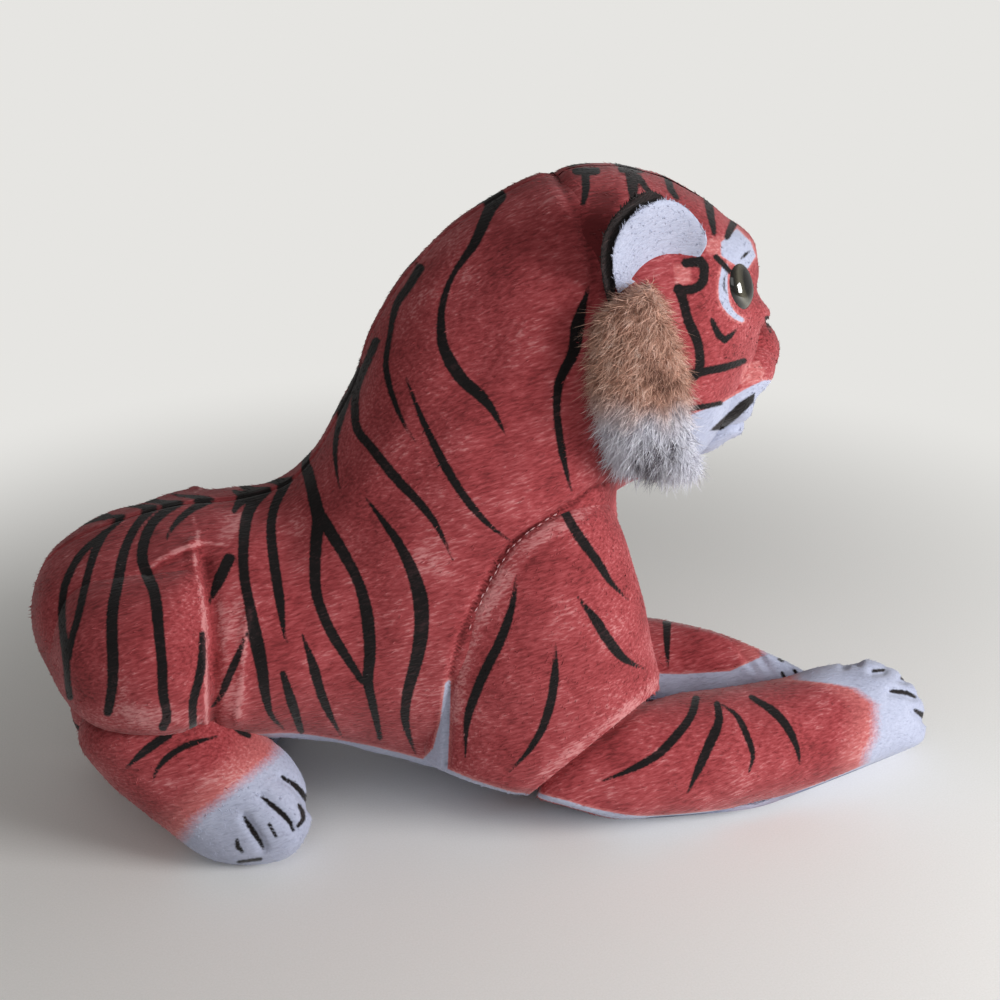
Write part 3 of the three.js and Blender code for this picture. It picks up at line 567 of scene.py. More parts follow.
# Painted shade in the seams, creases and dart, painted highlights along the folds and ridges, and lighter
# patches on the flank, the hip, the haunch's foot and beside the shoulder seam: a pixel line, its widths, a
# share of shade and a softness
body_shades = [
    (shoulder_seam, (1, 1), -1.3, 0.45), (neck_seam, (1, 1), -0.7, 1.0), (haunch_fold, (0, 0), 1.7, 0.5),
    (haunch_crease, (2, 3), -1.0, 1.0), (dart_edge, (0, 0), 1.4, 0.5), (dart, (1, 1), -0.9, 0.7),
    (flank_ridge, (1, 2), 1.2, 0.7), (hip_ridge, (0, 0), 1.4, 0.45), (hip_fold, (0, 0), 1.2, 0.5),
    ([(224, 590), (226, 640), (224, 690)], (16, 26, 12), 0.6, 2.5),
    ([(236, 520), (225, 538)], (10, 8), 0.8, 1.5),
    ([(90, 712), (130, 716), (190, 716)], (8, 10, 6), 0.6, 2.5),
    ([(440, 560), (425, 640), (432, 710)], (20, 26, 20), 0.35, 6.0),
]
# The shoulder seam's painted shade, the painted highlight beside it, and a lighter line on the upper arm
# above the elbow seam
arm_shades = [
    (shoulder_seam, (1, 1), -1.3, 0.45), (*seam_highlight_band, 0.9, 1.6),
    ([(655, 684), (624, 718), (592, 742), (548, 772)], (6, 8, 8, 6), 0.8, 1.6),
]
# The neck seam's painted shade, and a painted shadow behind the ear
head_shades = [
    (neck_seam, (1, 1), -0.7, 1.0),
    ([(604, 205), (599, 235), (600, 265), (606, 297)], (8, 12, 12, 8), -1.6, 3.5),
]
ruff_shades = [([(655, 376), (662, 384), (668, 388)], (6, 8, 5), -1.2, 2.0)]

# Outline corrections: a pixel place, a move in millimetres, and a reach in pixels
arm_underline = ((447, 775), (600, 818), (520, 700), 3.0)
far_leg_lines = [
    ((645, 615), (722, 633), (660, 660), 2.0),
    ((722, 632), (796, 666), (720, 660), 2.0),
]
body_pushes = [((75, 545), (1.5, 0, -1.5), 50), ((500, 190), (0.6, 0, -1.2), 90)]
head_pushes = [
    ((748, 240), (2.4, 0, 0.8), 24),
    ((756, 289), (-2.0, 0, 0), 12),
    ((765, 314), (3.0, 0, 0), 10),
    ((640, 500), (0, 0, 6.0), 34),
]
haunch_pushes = [((190, 585), (1.5, 0, 4.0), 26)]
muzzle_pushes = [
    ((762, 318), (1.5, 0, 3.0), 14),
    ((766, 402), (-3.0, 0, 1.0), 17),
    ((730, 450), (0, 0, 3.0), 18),
]
ruff_pushes = [((640, 495), (0, 0, 4.0), 45)]
ruff_lines = [
    ((649, 280), (676, 352), (640, 350), 2.0),
    ((616, 298), (668, 276), (640, 400), 2.0),
    ((588, 326), (622, 298), (640, 400), 2.0),
    ((594, 330), (593, 380), (640, 350), 2.0),
    ((592, 380), (614, 474), (650, 400), 2.0),
    ((600, 484), (700, 484), (650, 400), 2.0),
]
far_back_lines = [((150, 502), (240, 489), (190, 560), 1.5)]
leg_lines = [
    ((500, 788), (600, 816), (600, 700), 2.0),
    ((620, 821), (760, 811), (700, 700), 2.0),
    ((756, 812), (905, 751), (760, 700), 2.0),
    ((540, 760), (530, 830), (700, 750), 3.0),
]
stitch_line = [(562, 512), (540, 525), (515, 545), (500, 566), (484, 596), (470, 625), (460, 655),
    (455, 681)]
foreleg_form_shares = [
    [-0.09, 0.4, -0.09, 0.4, 0, 0],
    [-0.03, 0.8, -0.08, 0.12, 0, 0.66],
    [0.12, 1.0, 0.04, 0.02, 0, 0.92],
    *foreleg_shares[3:],
]
ruff_form_shares = [
    [0.5, 0.995, 0.5, 0.995, 0.2, 0],
    [0.1, 0.9, 0.84, 0.99, 0.25, 0.6],
    [0.04, 0.78, 0.86, 0.84, 0.3, 0.85],
    *ruff_shares[3:],
]
ruff_streaks = [
    ([(634, 452), (638, 460), (640, 468)], [3, 6, 3]),
    ([(642, 444), (649, 456), (652, 468)], [3, 7, 4]),
    ([(654, 438), (661, 452), (664, 466)], [3, 8, 4]),
    ([(668, 436), (674, 448), (675, 462)], [3, 7, 3]),
    ([(644, 466), (656, 470), (668, 466)], [4, 5, 4]),
]


# Surfaces

def mirrored(row):
    """The ring past a closed end: its upper and lower points change places and its width turns over."""
    return np.concatenate([row[2:4], row[0:2], row[4:5], -row[5:6]])


def rings(shares, size, start, side=1):
    """Rows of a ring table in millimetres. start is the place of the form's own corner."""
    length, height, width = size
    rows = np.array(shares, float) * [length, height, length, height, side * width, width / 2]
    return rows + [start[0], start[2], start[0], start[2], start[1], 0.0]


def catmull_rom(padded, where, count):
    """Rows read at fractional places on a Catmull-Rom curve. The first and last rows only steer it."""
    start = np.clip(np.floor(where).astype(int), 0, count - 2)
    part = (where - start)[:, None]
    before, here, there, after = (padded[start + k] for k in range(4))
    straight = (there - before) * part
    bend = (2 * before - 5 * here + 4 * there - after) * part**2
    turn = (3 * here - before - 3 * there + after) * part**3
    return (2 * here + straight + bend + turn) / 2


def read_rings(rows, where):
    """Rings at fractional places of the table, on curves that close each end as a dome."""
    padded = np.vstack([mirrored(rows[1]), rows, mirrored(rows[-2])])
    return catmull_rom(padded, where, len(rows))


def path_through(points, step):
    """Evenly spaced points on a Catmull-Rom curve through the given ones, and its length."""
    points = np.array(points, float)
    padded = np.vstack([2 * points[0] - points[1], points, 2 * points[-1] - points[-2]])
    where = np.linspace(0, len(points) - 1, (len(points) - 1) * path_fineness + 1)
    curve = catmull_rom(padded, where, len(points))
    run = np.concatenate([[0.0], np.cumsum(np.linalg.norm(np.diff(curve, axis=0), axis=1))])
    even = np.linspace(0, run[-1], max(int(run[-1] / step), 2) + 1)
    return np.stack([np.interp(even, run, curve[:, k]) for k in range(curve.shape[1])], axis=-1), run[-1]


def even_places(rows, step):
    """Fractional places whose rings lie about one step apart on the surface."""
    where = np.linspace(0, len(rows) - 1, (len(rows) - 1) * path_fineness + 1)
    read = read_rings(rows, where)
    corners = [read[:, 0:2], read[:, 2:4], read[:, 4:6]]
    gaps = np.max([np.linalg.norm(np.diff(c, axis=0), axis=1) for c in corners], axis=0)
    run = np.concatenate([[0.0], np.cumsum(gaps)])
    count = int(run[-1] / step)
    return np.interp((np.arange(count) + 0.5) / count * run[-1], run, where)


def ring_points(read, angles):
    """Points of each ring: its middle plus an ellipse through its upper and lower point."""
    upper, lower = read[:, 0:2], read[:, 2:4]
    middle, rise = (upper + lower) / 2, (upper - lower) / 2
    xz = middle[:, None, :] + rise[:, None, :] * np.cos(angles)[..., None]
    y = read[:, 4:5] + read[:, 5:6] * np.sin(angles)
    return np.stack([xz[..., 0], y, xz[..., 1]], axis=-1)


def closed_form(rows, step=skin_step):
    """A grid of points over a whole form: rings along it, and evenly spaced angles round each ring."""
    read = read_rings(rows, even_places(rows, step))
    half_height = np.linalg.norm(read[:, 0:2] - read[:, 2:4], axis=1).max() / 2
    girth = 2 * math.pi * math.sqrt((half_height**2 + read[:, 5].max() ** 2) / 2)
    count = int(girth / step)
    angles = np.arange(count) / count * 2 * math.pi
    return ring_points(read, np.broadcast_to(angles, (len(read), count)))


def normals_of(grid, wraps=True):
    """Unit normals of a grid: its way across the rings, crossed with its way along them."""
    down = np.gradient(grid, axis=0)
    if wraps:
        across = np.roll(grid, -1, axis=1) - np.roll(grid, 1, axis=1)
    else:
        across = np.gradient(grid, axis=1)
    normal = np.cross(across, down)
    normal /= np.maximum(np.linalg.norm(normal, axis=-1, keepdims=True), tiny)
    return normal


def form_normals(grid, middle=None):
    """Normals that face out of a form, judged from the middle of each ring."""
    normal = normals_of(grid)
    centre = grid.mean(axis=1, keepdims=True) if middle is None else middle
    return normal if (normal * (grid - centre)).sum() > 0 else -normal


def lumps(points, height=lump_height, width=lump_width, seed=1):
    """Soft unevenness of stuffing: a sum of sine waves that run in seeded directions."""
    chance = np.random.default_rng(seed)
    waves = chance.normal(size=(lump_waves, 3))
    waves *= (2 * math.pi / width) / np.linalg.norm(waves, axis=1, keepdims=True)
    waves *= chance.uniform(*lump_pitch_shares, (lump_waves, 1))
    phases = chance.uniform(0, 2 * math.pi, lump_waves)
    return 2 * height * np.sin(points @ waves.T + phases).mean(axis=-1)


def pressed(points, normal, place):
    """Points beyond a plane are laid on it. The plane keeps the side that its normal points to."""
    normal = np.array(normal, float)
    depth = (points - place) @ normal
    return points - np.minimum(depth, 0)[..., None] * normal


def plane_distance(points, normal, place):
    """How far points lie in front of a plane."""
    return (points - place) @ np.array(normal, float)


def dip(points, normals, distance, depth=seam_valley, reach=seam_reach):
    """Cloth drawn in beside a seam: deepest at the seam, gone within its reach."""
    return points - normals * (depth * np.exp(-((distance / reach) ** 2)))[..., None]


def smooth_step(value):
    """0 below 0, 1 above 1, and a soft curve between."""
    share = np.clip(value, 0, 1)
    return share * share * (3 - 2 * share)


# Markings: where a point of the skin falls in the photograph, and how far it is from each mark

def photo_pixels(points):
    """Pixels where points fall in the photograph, and how many pixels a millimetre spans there."""
    ahead = points - camera_place
    scale = focal_px / -(ahead @ camera_back)
    across = frame_px / 2 + (ahead @ camera_right) * scale
    down = frame_px / 2 - (ahead @ camera_up) * scale
    return np.stack([across, down], axis=-1), scale


def near_side(points):
    """The same points on the toy's right side, which is the one that the photograph shows."""
    return points * [1, 0, 1] - np.abs(points) * [0, 1, 0]


def segment_distance(pixels, start, end):
    """Distance to a straight piece of line, and the share of the way along it of its nearest point."""
    way = end - start
    share = np.clip(((pixels - start) @ way) / max(way @ way, tiny), 0, 1)
    return np.linalg.norm(pixels - start - share[..., None] * way, axis=-1), share


def mark_distance(points, marks, growth=1.0):
    """Millimetres from points to the nearest mark's edge: to its middle line, less half its width there.
    An end that is narrow runs out in a point."""
    pixels, scale = photo_pixels(points)
    nearest = np.full(points.shape[:-1], far_away)
    for line, widths in marks:
        path, _ = path_through(line, mark_step)
        widths = np.array(widths, float) * growth
        widths[[0, -1]] *= np.where(widths[[0, -1]] > point_width * growth, 1.0, point_share)
        half = np.interp(np.linspace(0, 1, len(path)), np.linspace(0, 1, len(widths)), widths) / 2
        for k in range(len(path) - 1):
            distance, share = segment_distance(pixels, path[k], path[k + 1])
            nearest = np.minimum(nearest, distance - half[k] - share * (half[k + 1] - half[k]))
    return nearest / scale


def patch_distance(points, outline):
    """Millimetres from points to a patch's outline, below zero inside it."""
    pixels, scale = photo_pixels(points)
    corners = np.array(outline, float)
    nearest = np.full(points.shape[:-1], far_away)
    inside = np.zeros(points.shape[:-1], bool)
    for start, end in zip(corners, np.roll(corners, -1, axis=0)):
        distance, _ = segment_distance(pixels, start, end)
        nearest = np.minimum(nearest, distance)
        spans = (start[1] > pixels[..., 1]) != (end[1] > pixels[..., 1])
        fall = end[1] - start[1] if end[1] != start[1] else tiny
        crossing = start[0] + (pixels[..., 1] - start[1]) / fall * (end[0] - start[0])
        inside ^= spans & (pixels[..., 0] < crossing)
    return np.where(inside, -nearest, nearest) / scale


def pixel_ray(pixel):
    """Direction from the camera through a pixel."""
    across, down = pixel[0] - frame_px / 2, pixel[1] - frame_px / 2
    return camera_right * across - camera_up * down - camera_back * focal_px


def trimmed(points, start, end, inside, softness):
    """Points held on one side of the plane through the camera and two pixels: the side of a third pixel.
    Nearer to it than the softness, depth becomes softness x exp((depth - softness) / softness)."""
    normal = np.cross(pixel_ray(start), pixel_ray(end))
    normal /= np.linalg.norm(normal)
    normal *= np.sign(normal @ pixel_ray(inside))
    depth = (points - camera_place) @ normal
    near = np.minimum(depth, softness)
    held = np.where(depth > softness, depth, softness * np.exp((near - softness) / softness))
    return points + (held - depth)[..., None] * normal


def held_in(points, lines):
    """Points held on one side of each of several lines of the photograph."""
    for line in lines:
        points = trimmed(points, *line)
    return points


def pushed(points, pushes):
    """Soft pushes: each moves points by its move x exp(-(distance in pixels / reach) squared)."""
    moved = points.copy()
    for place, move, reach in pushes:
        pixels, _ = photo_pixels(near_side(points))
        weight = np.exp(-((pixels - place) ** 2).sum(axis=-1) / reach**2)
        moved += weight[..., None] * np.array(move, float)
    return moved


def folded(points, normals, folds):
    """Creases and ridges along lines: normal x height x exp(-(distance / reach) squared)."""
    near = near_side(points)
    for line, height, reach in folds:
        distance = np.maximum(mark_distance(near, [(line, (0, 0))]), 0)
        points = points + normals * (height * np.exp(-((distance / reach) ** 2)))[..., None]
    return points


def white_share(distance, softness):
    """How white the cloth is: white_edge less (distance outside the white's edge / softness)."""
    return white_edge - distance / softness


def shaded(points, shade, marks):
    """Shade with lighter and darker marks added: share x exp(-(distance / softness) squared)."""
    for line, widths, share, softness in marks:
        distance = np.maximum(mark_distance(points, [(line, widths)]), 0)
        shade = shade + share * np.exp(-((distance / softness) ** 2))
    return shade


def edge_side(points, line):
    """Millimetres to the right of a line that is drawn upwards or downwards, below zero to its left."""
    pixels, scale = photo_pixels(points)
    corners = np.array(line, float)
    order = np.argsort(corners[:, 1])
    across = np.interp(pixels[..., 1], corners[order, 1], corners[order, 0])
    return (pixels[..., 0] - across) / scale


def stitches(grid, line, values):
    """Thread stitches that show along a seam: spindles of eight faces on the grid's nearest points."""
    normals = form_normals(grid)
    path, _ = path_through(line, stitch_gap_px)
    pixels, _ = photo_pixels(grid)
    facing = (normals @ camera_back) > 0
    spots = []
    for place in path[1:-1]:
        off = np.where(facing, np.linalg.norm(pixels - place, axis=-1), far_away)
        spots.append(np.argmin(off))
    spots = np.array(spots)
    points, out = grid.reshape(-1, 3)[spots], normals.reshape(-1, 3)[spots]
    along = np.gradient(points, axis=0)
    along /= np.maximum(np.linalg.norm(along, axis=1, keepdims=True), tiny)
    aside = np.cross(out, along)
    middle = points + out * stitch_lift
    ends = (-along * stitch_length, along * stitch_length, aside * stitch_width, -aside * stitch_width,
            out * stitch_width, -out * stitch_width)
    spindle = np.stack([middle + end / 2 for end in ends], axis=1)
    faces = np.array([[0, 2, 4], [0, 4, 3], [0, 3, 5], [0, 5, 2],
                      [1, 4, 2], [1, 3, 4], [1, 5, 3], [1, 2, 5]])
    a, b, c = (spindle[0, faces[0, k]] for k in range(3))
    if np.cross(b - a, c - a) @ (a + b + c - 3 * middle[0]) < 0:
        faces = faces[:, ::-1]
    triangles = (np.arange(len(spots))[:, None, None] * 6 + faces).reshape(-1, 3)
    rows, columns = grid.shape[:2]
    row, column = np.unravel_index(spots, grid.shape[:2])
    place = np.stack([column / columns, (row + 1) / (rows + 1)], axis=-1)
    corner = np.array([[-1, 0], [1, 0], [0, 1], [0, -1], [1, 1], [-1, -1]]) * chart_width
    chart = (place[:, None, None] + corner[faces]).reshape(-1, 3, 2)
    carried = {key: np.full(len(spots) * 6, far_away) for key in values}
    carried["pale"] = np.full(len(spots) * 6, stitch_pale)
    carried["shade"] = np.full(len(spots) * 6, stitch_shade)
    flat = np.zeros(len(triangles), bool)
    return {"points": spindle.reshape(-1, 3), "triangles": triangles, "chart": chart, "values": carried,
            "smooth": flat}


# Meshes: a part is a dictionary of points, triangles, the chart place of each triangle corner, and values

def grid_part(grid, values, wraps):
    """Two triangles for each cell of a grid, charted by column and ring."""
    rows, columns, _ = grid.shape
    row = np.arange(rows - 1)[:, None]
    column = np.arange(columns if wraps else columns - 1)[None, :]
    beside = (column + 1) % columns
    a, b = row * columns + column, row * columns + beside
    c, d = a + columns, b + columns
    cells = np.concatenate([np.stack([a, b, d], -1).reshape(-1, 3), np.stack([a, d, c], -1).reshape(-1, 3)])
    left = np.broadcast_to(column / columns, a.shape)
    right = np.broadcast_to((column + 1) / columns, a.shape)
    low = np.broadcast_to((row + 1) / (rows + 1), a.shape)
    high = np.broadcast_to((row + 2) / (rows + 1), a.shape)
    chart_a, chart_b = np.stack([left, low], -1), np.stack([right, low], -1)
    chart_c, chart_d = np.stack([left, high], -1), np.stack([right, high], -1)
    chart = np.concatenate([
        np.stack([chart_a, chart_b, chart_d], -2).reshape(-1, 3, 2),
        np.stack([chart_a, chart_d, chart_c], -2).reshape(-1, 3, 2),
    ])
    flat = {key: value.reshape(-1) for key, value in values.items()}
    smooth = np.ones(len(cells), bool)
    return {"points": grid.reshape(-1, 3), "triangles": cells, "chart": chart, "values": flat,
            "smooth": smooth}


def closed_part(grid, values):
    """A wrapped grid with a fan of triangles to a pole at each end, turned to face outwards."""
    part = grid_part(grid, values, wraps=True)
    rows, columns, _ = grid.shape
    first, last, end = rows * columns, rows * columns + 1, (rows - 1) * columns
    here = np.arange(columns)
    beside = (here + 1) % columns
    fans = [
        np.stack([np.full(columns, first), beside, here], -1),
        np.stack([np.full(columns, last), end + here, end + beside], -1),
    ]
    low, high, step = 1 / (rows + 1), rows / (rows + 1), 1 / columns
    start_chart = [[(k + 0.5) * step, 0.0] for k in here], [[(k + 1) * step, low] for k in here]
    end_chart = [[(k + 0.5) * step, 1.0] for k in here], [[(k + 1) * step, high] for k in here]
    charts = [
        np.stack([start_chart[0], start_chart[1], [[k * step, low] for k in here]], 1),
        np.stack([end_chart[0], [[k * step, high] for k in here], end_chart[1]], 1),
    ]
    points = np.vstack([part["points"], grid[0].mean(axis=0), grid[-1].mean(axis=0)])
    triangles = np.concatenate([part["triangles"], *fans])
    chart = np.concatenate([part["chart"], *charts])
    a, b, c = (points[triangles[:, k]] for k in range(3))
    if (np.cross(a, b) * c).sum() < 0:
        triangles, chart = triangles[:, ::-1], chart[:, ::-1]
    values = {key: np.append(value, [value[:columns].mean(), value[-columns:].mean()])
              for key, value in part["values"].items()}
    smooth = np.ones(len(triangles), bool)
    return {"points": points, "triangles": triangles, "chart": chart, "values": values, "smooth": smooth}


def joined(parts):
    """Several parts as one."""
    starts = np.cumsum([0] + [len(part["points"]) for part in parts[:-1]])
    return {
        "points": np.vstack([part["points"] for part in parts]),
        "triangles": np.vstack([part["triangles"] + start for part, start in zip(parts, starts)]),
        "chart": np.vstack([part["chart"] for part in parts]),
        "smooth": np.concatenate([part["smooth"] for part in parts]),
        "values": {key: np.concatenate([part["values"][key] for part in parts])
                   for key in parts[0]["values"]},
    }


def make_piece(name, part, material):
    """An object at the origin, in metres, with a chart and one attribute for each value."""
    mesh = bpy.data.meshes.new(name)
    points, triangles = part["points"], part["triangles"]
    mesh.vertices.add(len(points))
    mesh.vertices.foreach_set("co", ((points + toy_shift) * MM).astype(np.float32).ravel())
    mesh.loops.add(triangles.size)
    mesh.loops.foreach_set("vertex_index", triangles.astype(np.int32).ravel())
    mesh.polygons.add(len(triangles))
    mesh.polygons.foreach_set("loop_start", np.arange(0, triangles.size, 3, dtype=np.int32))
    mesh.polygons.foreach_set("use_smooth", part["smooth"])
    chart = mesh.uv_layers.new(name="OFBake")
    chart.data.foreach_set("uv", part["chart"].astype(np.float32).ravel())
    for key, value in part["values"].items():
        attribute = mesh.attributes.new(key, "FLOAT", "POINT")
        attribute.data.foreach_set("value", value.astype(np.float32))
    mesh.update()
    mesh.materials.append(material)
    piece = bpy.data.objects.new(name, mesh)
    bpy.context.scene.collection.objects.link(piece)
    return piece


def read_grid(field, row, column, wraps):
    """Values of a grid at fractional rows and columns."""
    rows, columns = field.shape[:2]
    row = np.clip(row, 0, rows - 1 - grid_end)
    column = column % columns if wraps else np.clip(column, 0, columns - 1 - grid_end)
    low, left = row.astype(int), column.astype(int) % columns
    across, down = column - np.floor(column), row - low
    if field.ndim > 2:
        across, down = across[..., None], down[..., None]
    right = (left + 1) % columns
    top = field[low, left] * (1 - across) + field[low, right] * across
    bottom = field[low + 1, left] * (1 - across) + field[low + 1, right] * across
    return top * (1 - down) + bottom * down


def pile(grid, normals, values, nap, seed, kind, wraps=True, keep=None):
    """Tufts of pile on a grid. Each is a closed spike of three sides that starts under the cloth and leans
    along the nap: its middle line is root + length x (share x way + share squared x droop). Each ring of a
    spike takes the cloth's values beneath it, and the whole spike has a shade of its own."""
    chance = np.random.default_rng(seed)
    right = np.roll(grid, -1, axis=1) if wraps else grid[:, 1:]
    here = grid if wraps else grid[:, :-1]
    along, below = right[:-1] - here[:-1], here[1:] - here[:-1]
    area = np.linalg.norm(np.cross(along, below), axis=-1)
    if keep is not None:
        area = area * keep[:-1, :area.shape[1]]
    total = np.cumsum(area.ravel())
    count = int(total[-1] * kind["density"])
    cell = np.minimum(np.searchsorted(total, chance.uniform(0, total[-1], count)), area.size - 1)
    low, left = np.unravel_index(cell, area.shape)
    along, below = along[low, left], below[low, left]
    row, column = low + chance.uniform(0, 1, count), left + chance.uniform(0, 1, count)
    root, out = (read_grid(field, row, column, wraps) for field in (grid, normals))
    out /= np.maximum(np.linalg.norm(out, axis=1, keepdims=True), tiny)
    way = read_grid(np.broadcast_to(nap, grid.shape), row, column, wraps)
    way = way - (way * out).sum(axis=1, keepdims=True) * out
    way /= np.maximum(np.linalg.norm(way, axis=1, keepdims=True), tiny)
    sideways = np.cross(out, way)
    swirl = chance.normal(0, kind["swirl"], count)[:, None]
    way = way * np.cos(swirl) + sideways * np.sin(swirl)
    lean = np.clip(chance.normal(kind["lean"], kind["lean_spread"], count), 0, kind["most_lean"])[:, None]
    way = way * np.sin(lean) + out * np.cos(lean)
    sideways = np.cross(out, way)
    sideways /= np.maximum(np.linalg.norm(sideways, axis=1, keepdims=True), tiny)
    above = np.cross(way, sideways)
    length = (kind["length"] * chance.uniform(*length_spread_shares, count))[:, None]
    width = (kind["width"] * chance.uniform(*width_spread_shares, count))[:, None]
    steps = kind["steps"]
    stations = np.arange(steps + 1) / steps
    bend = chance.normal(0, kind["curl"], (count, 3)) + kind["droop"]
    line = (root - out * pile_sink)[:, None] + length[:, None] * (
        stations[None, :, None] * way[:, None] + stations[None, :, None] ** 2 * bend[:, None])
    taper = (1 - stations**taper_power)[None, :steps, None]
    corners = (sideways / 2, -sideways / 2, above * spike_rise)
    ring = np.stack([line[:, :steps] + corner[:, None] * width[:, None] * taper
                     for corner in corners], axis=2)
    points = np.concatenate([ring.reshape(count, steps * 3, 3), line[:, -1:]], axis=1)
    faces = [[0, 1, 2]]
    for step in range(steps - 1):
        for corner in range(3):
            a, b = step * 3 + corner, step * 3 + (corner + 1) % 3
            faces += [[a, b + 3, b], [a, a + 3, b + 3]]
    tip, base = steps * 3, (steps - 1) * 3
    faces += [[base, tip, base + 1], [base + 1, tip, base + 2], [base + 2, tip, base]]
    faces = np.array(faces)
    a, b, c = (points[0, faces[0, k]] for k in range(3))
    if np.cross(b - a, c - a) @ (points[0, tip] - a) > 0:
        faces = faces[:, ::-1]
    each = steps * 3 + 1
    triangles = (np.arange(count)[:, None, None] * each + faces).reshape(-1, 3)
    rows, columns = grid.shape[:2]
    place = np.stack([column / columns, (row + 1) / (rows + 1)], axis=-1)
    spread = np.array([[-1, 0], [1, 0], [0, 1]] * steps + [[0, -1]]) * chart_width
    chart = (place[:, None, None] + spread[faces]).reshape(-1, 3, 2)
    reach = line - root[:, None]
    rows_at = row[:, None] + (reach * below[:, None]).sum(-1) / (below**2).sum(-1)[:, None]
    columns_at = column[:, None] + (reach * along[:, None]).sum(-1) / (along**2).sum(-1)[:, None]
    # A tuft's own shade: a random tone, and painted shade at its root that lightens towards its tip
    own = chance.normal(0, kind["shade_spread"], count)[:, None] + kind["tip_shade"] * stations
    carried = {}
    for key, value in values.items():
        beneath = read_grid(value, rows_at, columns_at, wraps) + (own if key == "shade" else 0)
        along_spike = np.repeat(beneath[:, :steps], 3, axis=1)
        carried[key] = np.concatenate([along_spike, beneath[:, -1:]], axis=1).ravel()
    flat = np.zeros(len(triangles), bool)
    return {"points": points.reshape(-1, 3), "triangles": triangles, "chart": chart, "values": carried,
            "smooth": flat}


# Kinds of pile: tufts on a square millimetre, then lengths, angles, steps of a spike, and shares
# tip_shade is how much lighter a tuft grows towards its tip, which paints shade at its root
short_pile = {
    "density": 0.74, "length": 1.6, "width": 0.6, "lean": math.radians(76), "swirl": 0.3,
    "lean_spread": 0.12, "most_lean": math.radians(85), "steps": 1, "droop": (0, 0, 0),
    "curl": 0.0, "shade_spread": 0.12, "tip_shade": 0.2,
}
ear_pile = {**short_pile, "density": 1.3, "length": 1.6, "width": 0.5}
ruff_pile = {
    "density": 3.8, "length": 5.2, "width": 0.34, "lean": math.radians(64), "swirl": 0.9,
    "lean_spread": 0.3, "most_lean": math.radians(88), "steps": 2, "droop": (-0.05, 0, -0.25),
    "curl": 0.24, "shade_spread": 0.25, "tip_shade": 0.3,
}


# Materials

def srgb(code):
    """Linear colour of an sRGB hex value."""
    channels = np.array([int(code[k:k + 2], 16) for k in (1, 3, 5)]) / 255
    low, high = channels / 12.92, ((channels + 0.055) / 1.055) ** 2.4
    return (*np.where(channels <= 0.04045, low, high), 1.0)


def node(tree, kind, settings=None, **links):
    """A node with its settings. A link is an input, by its name or by _ and its number: a socket or a
    value. The setting stops holds a colour ramp's places and colours."""
    made = tree.nodes.new(kind)
    settings = dict(settings or {})
    for number, (place, code) in enumerate(settings.pop("stops", [])):
        elements = made.color_ramp.elements
        element = elements[number] if number < 2 else elements.new(place)
        element.position = place
        element.color = srgb(code)
    for key, value in settings.items():
        setattr(made, key, value)
    for key, value in links.items():
        socket = made.inputs[int(key[1:])] if key[1:].isdigit() else made.inputs[key.replace("_", " ")]
        if isinstance(value, bpy.types.NodeSocket):
            tree.links.new(value, socket)
        else:
            socket.default_value = value
    return made


def new_material(name):
    """A material, its node tree, its shader, and the cloth's values as sockets."""
    material = bpy.data.materials.new(name)
    material.use_nodes = True
    tree = material.node_tree
    read = [node(tree, "ShaderNodeAttribute", {"attribute_name": key}).outputs["Fac"]
            for key in ("ink", "pale", "shade")]
    return material, tree, tree.nodes["Principled BSDF"], *read


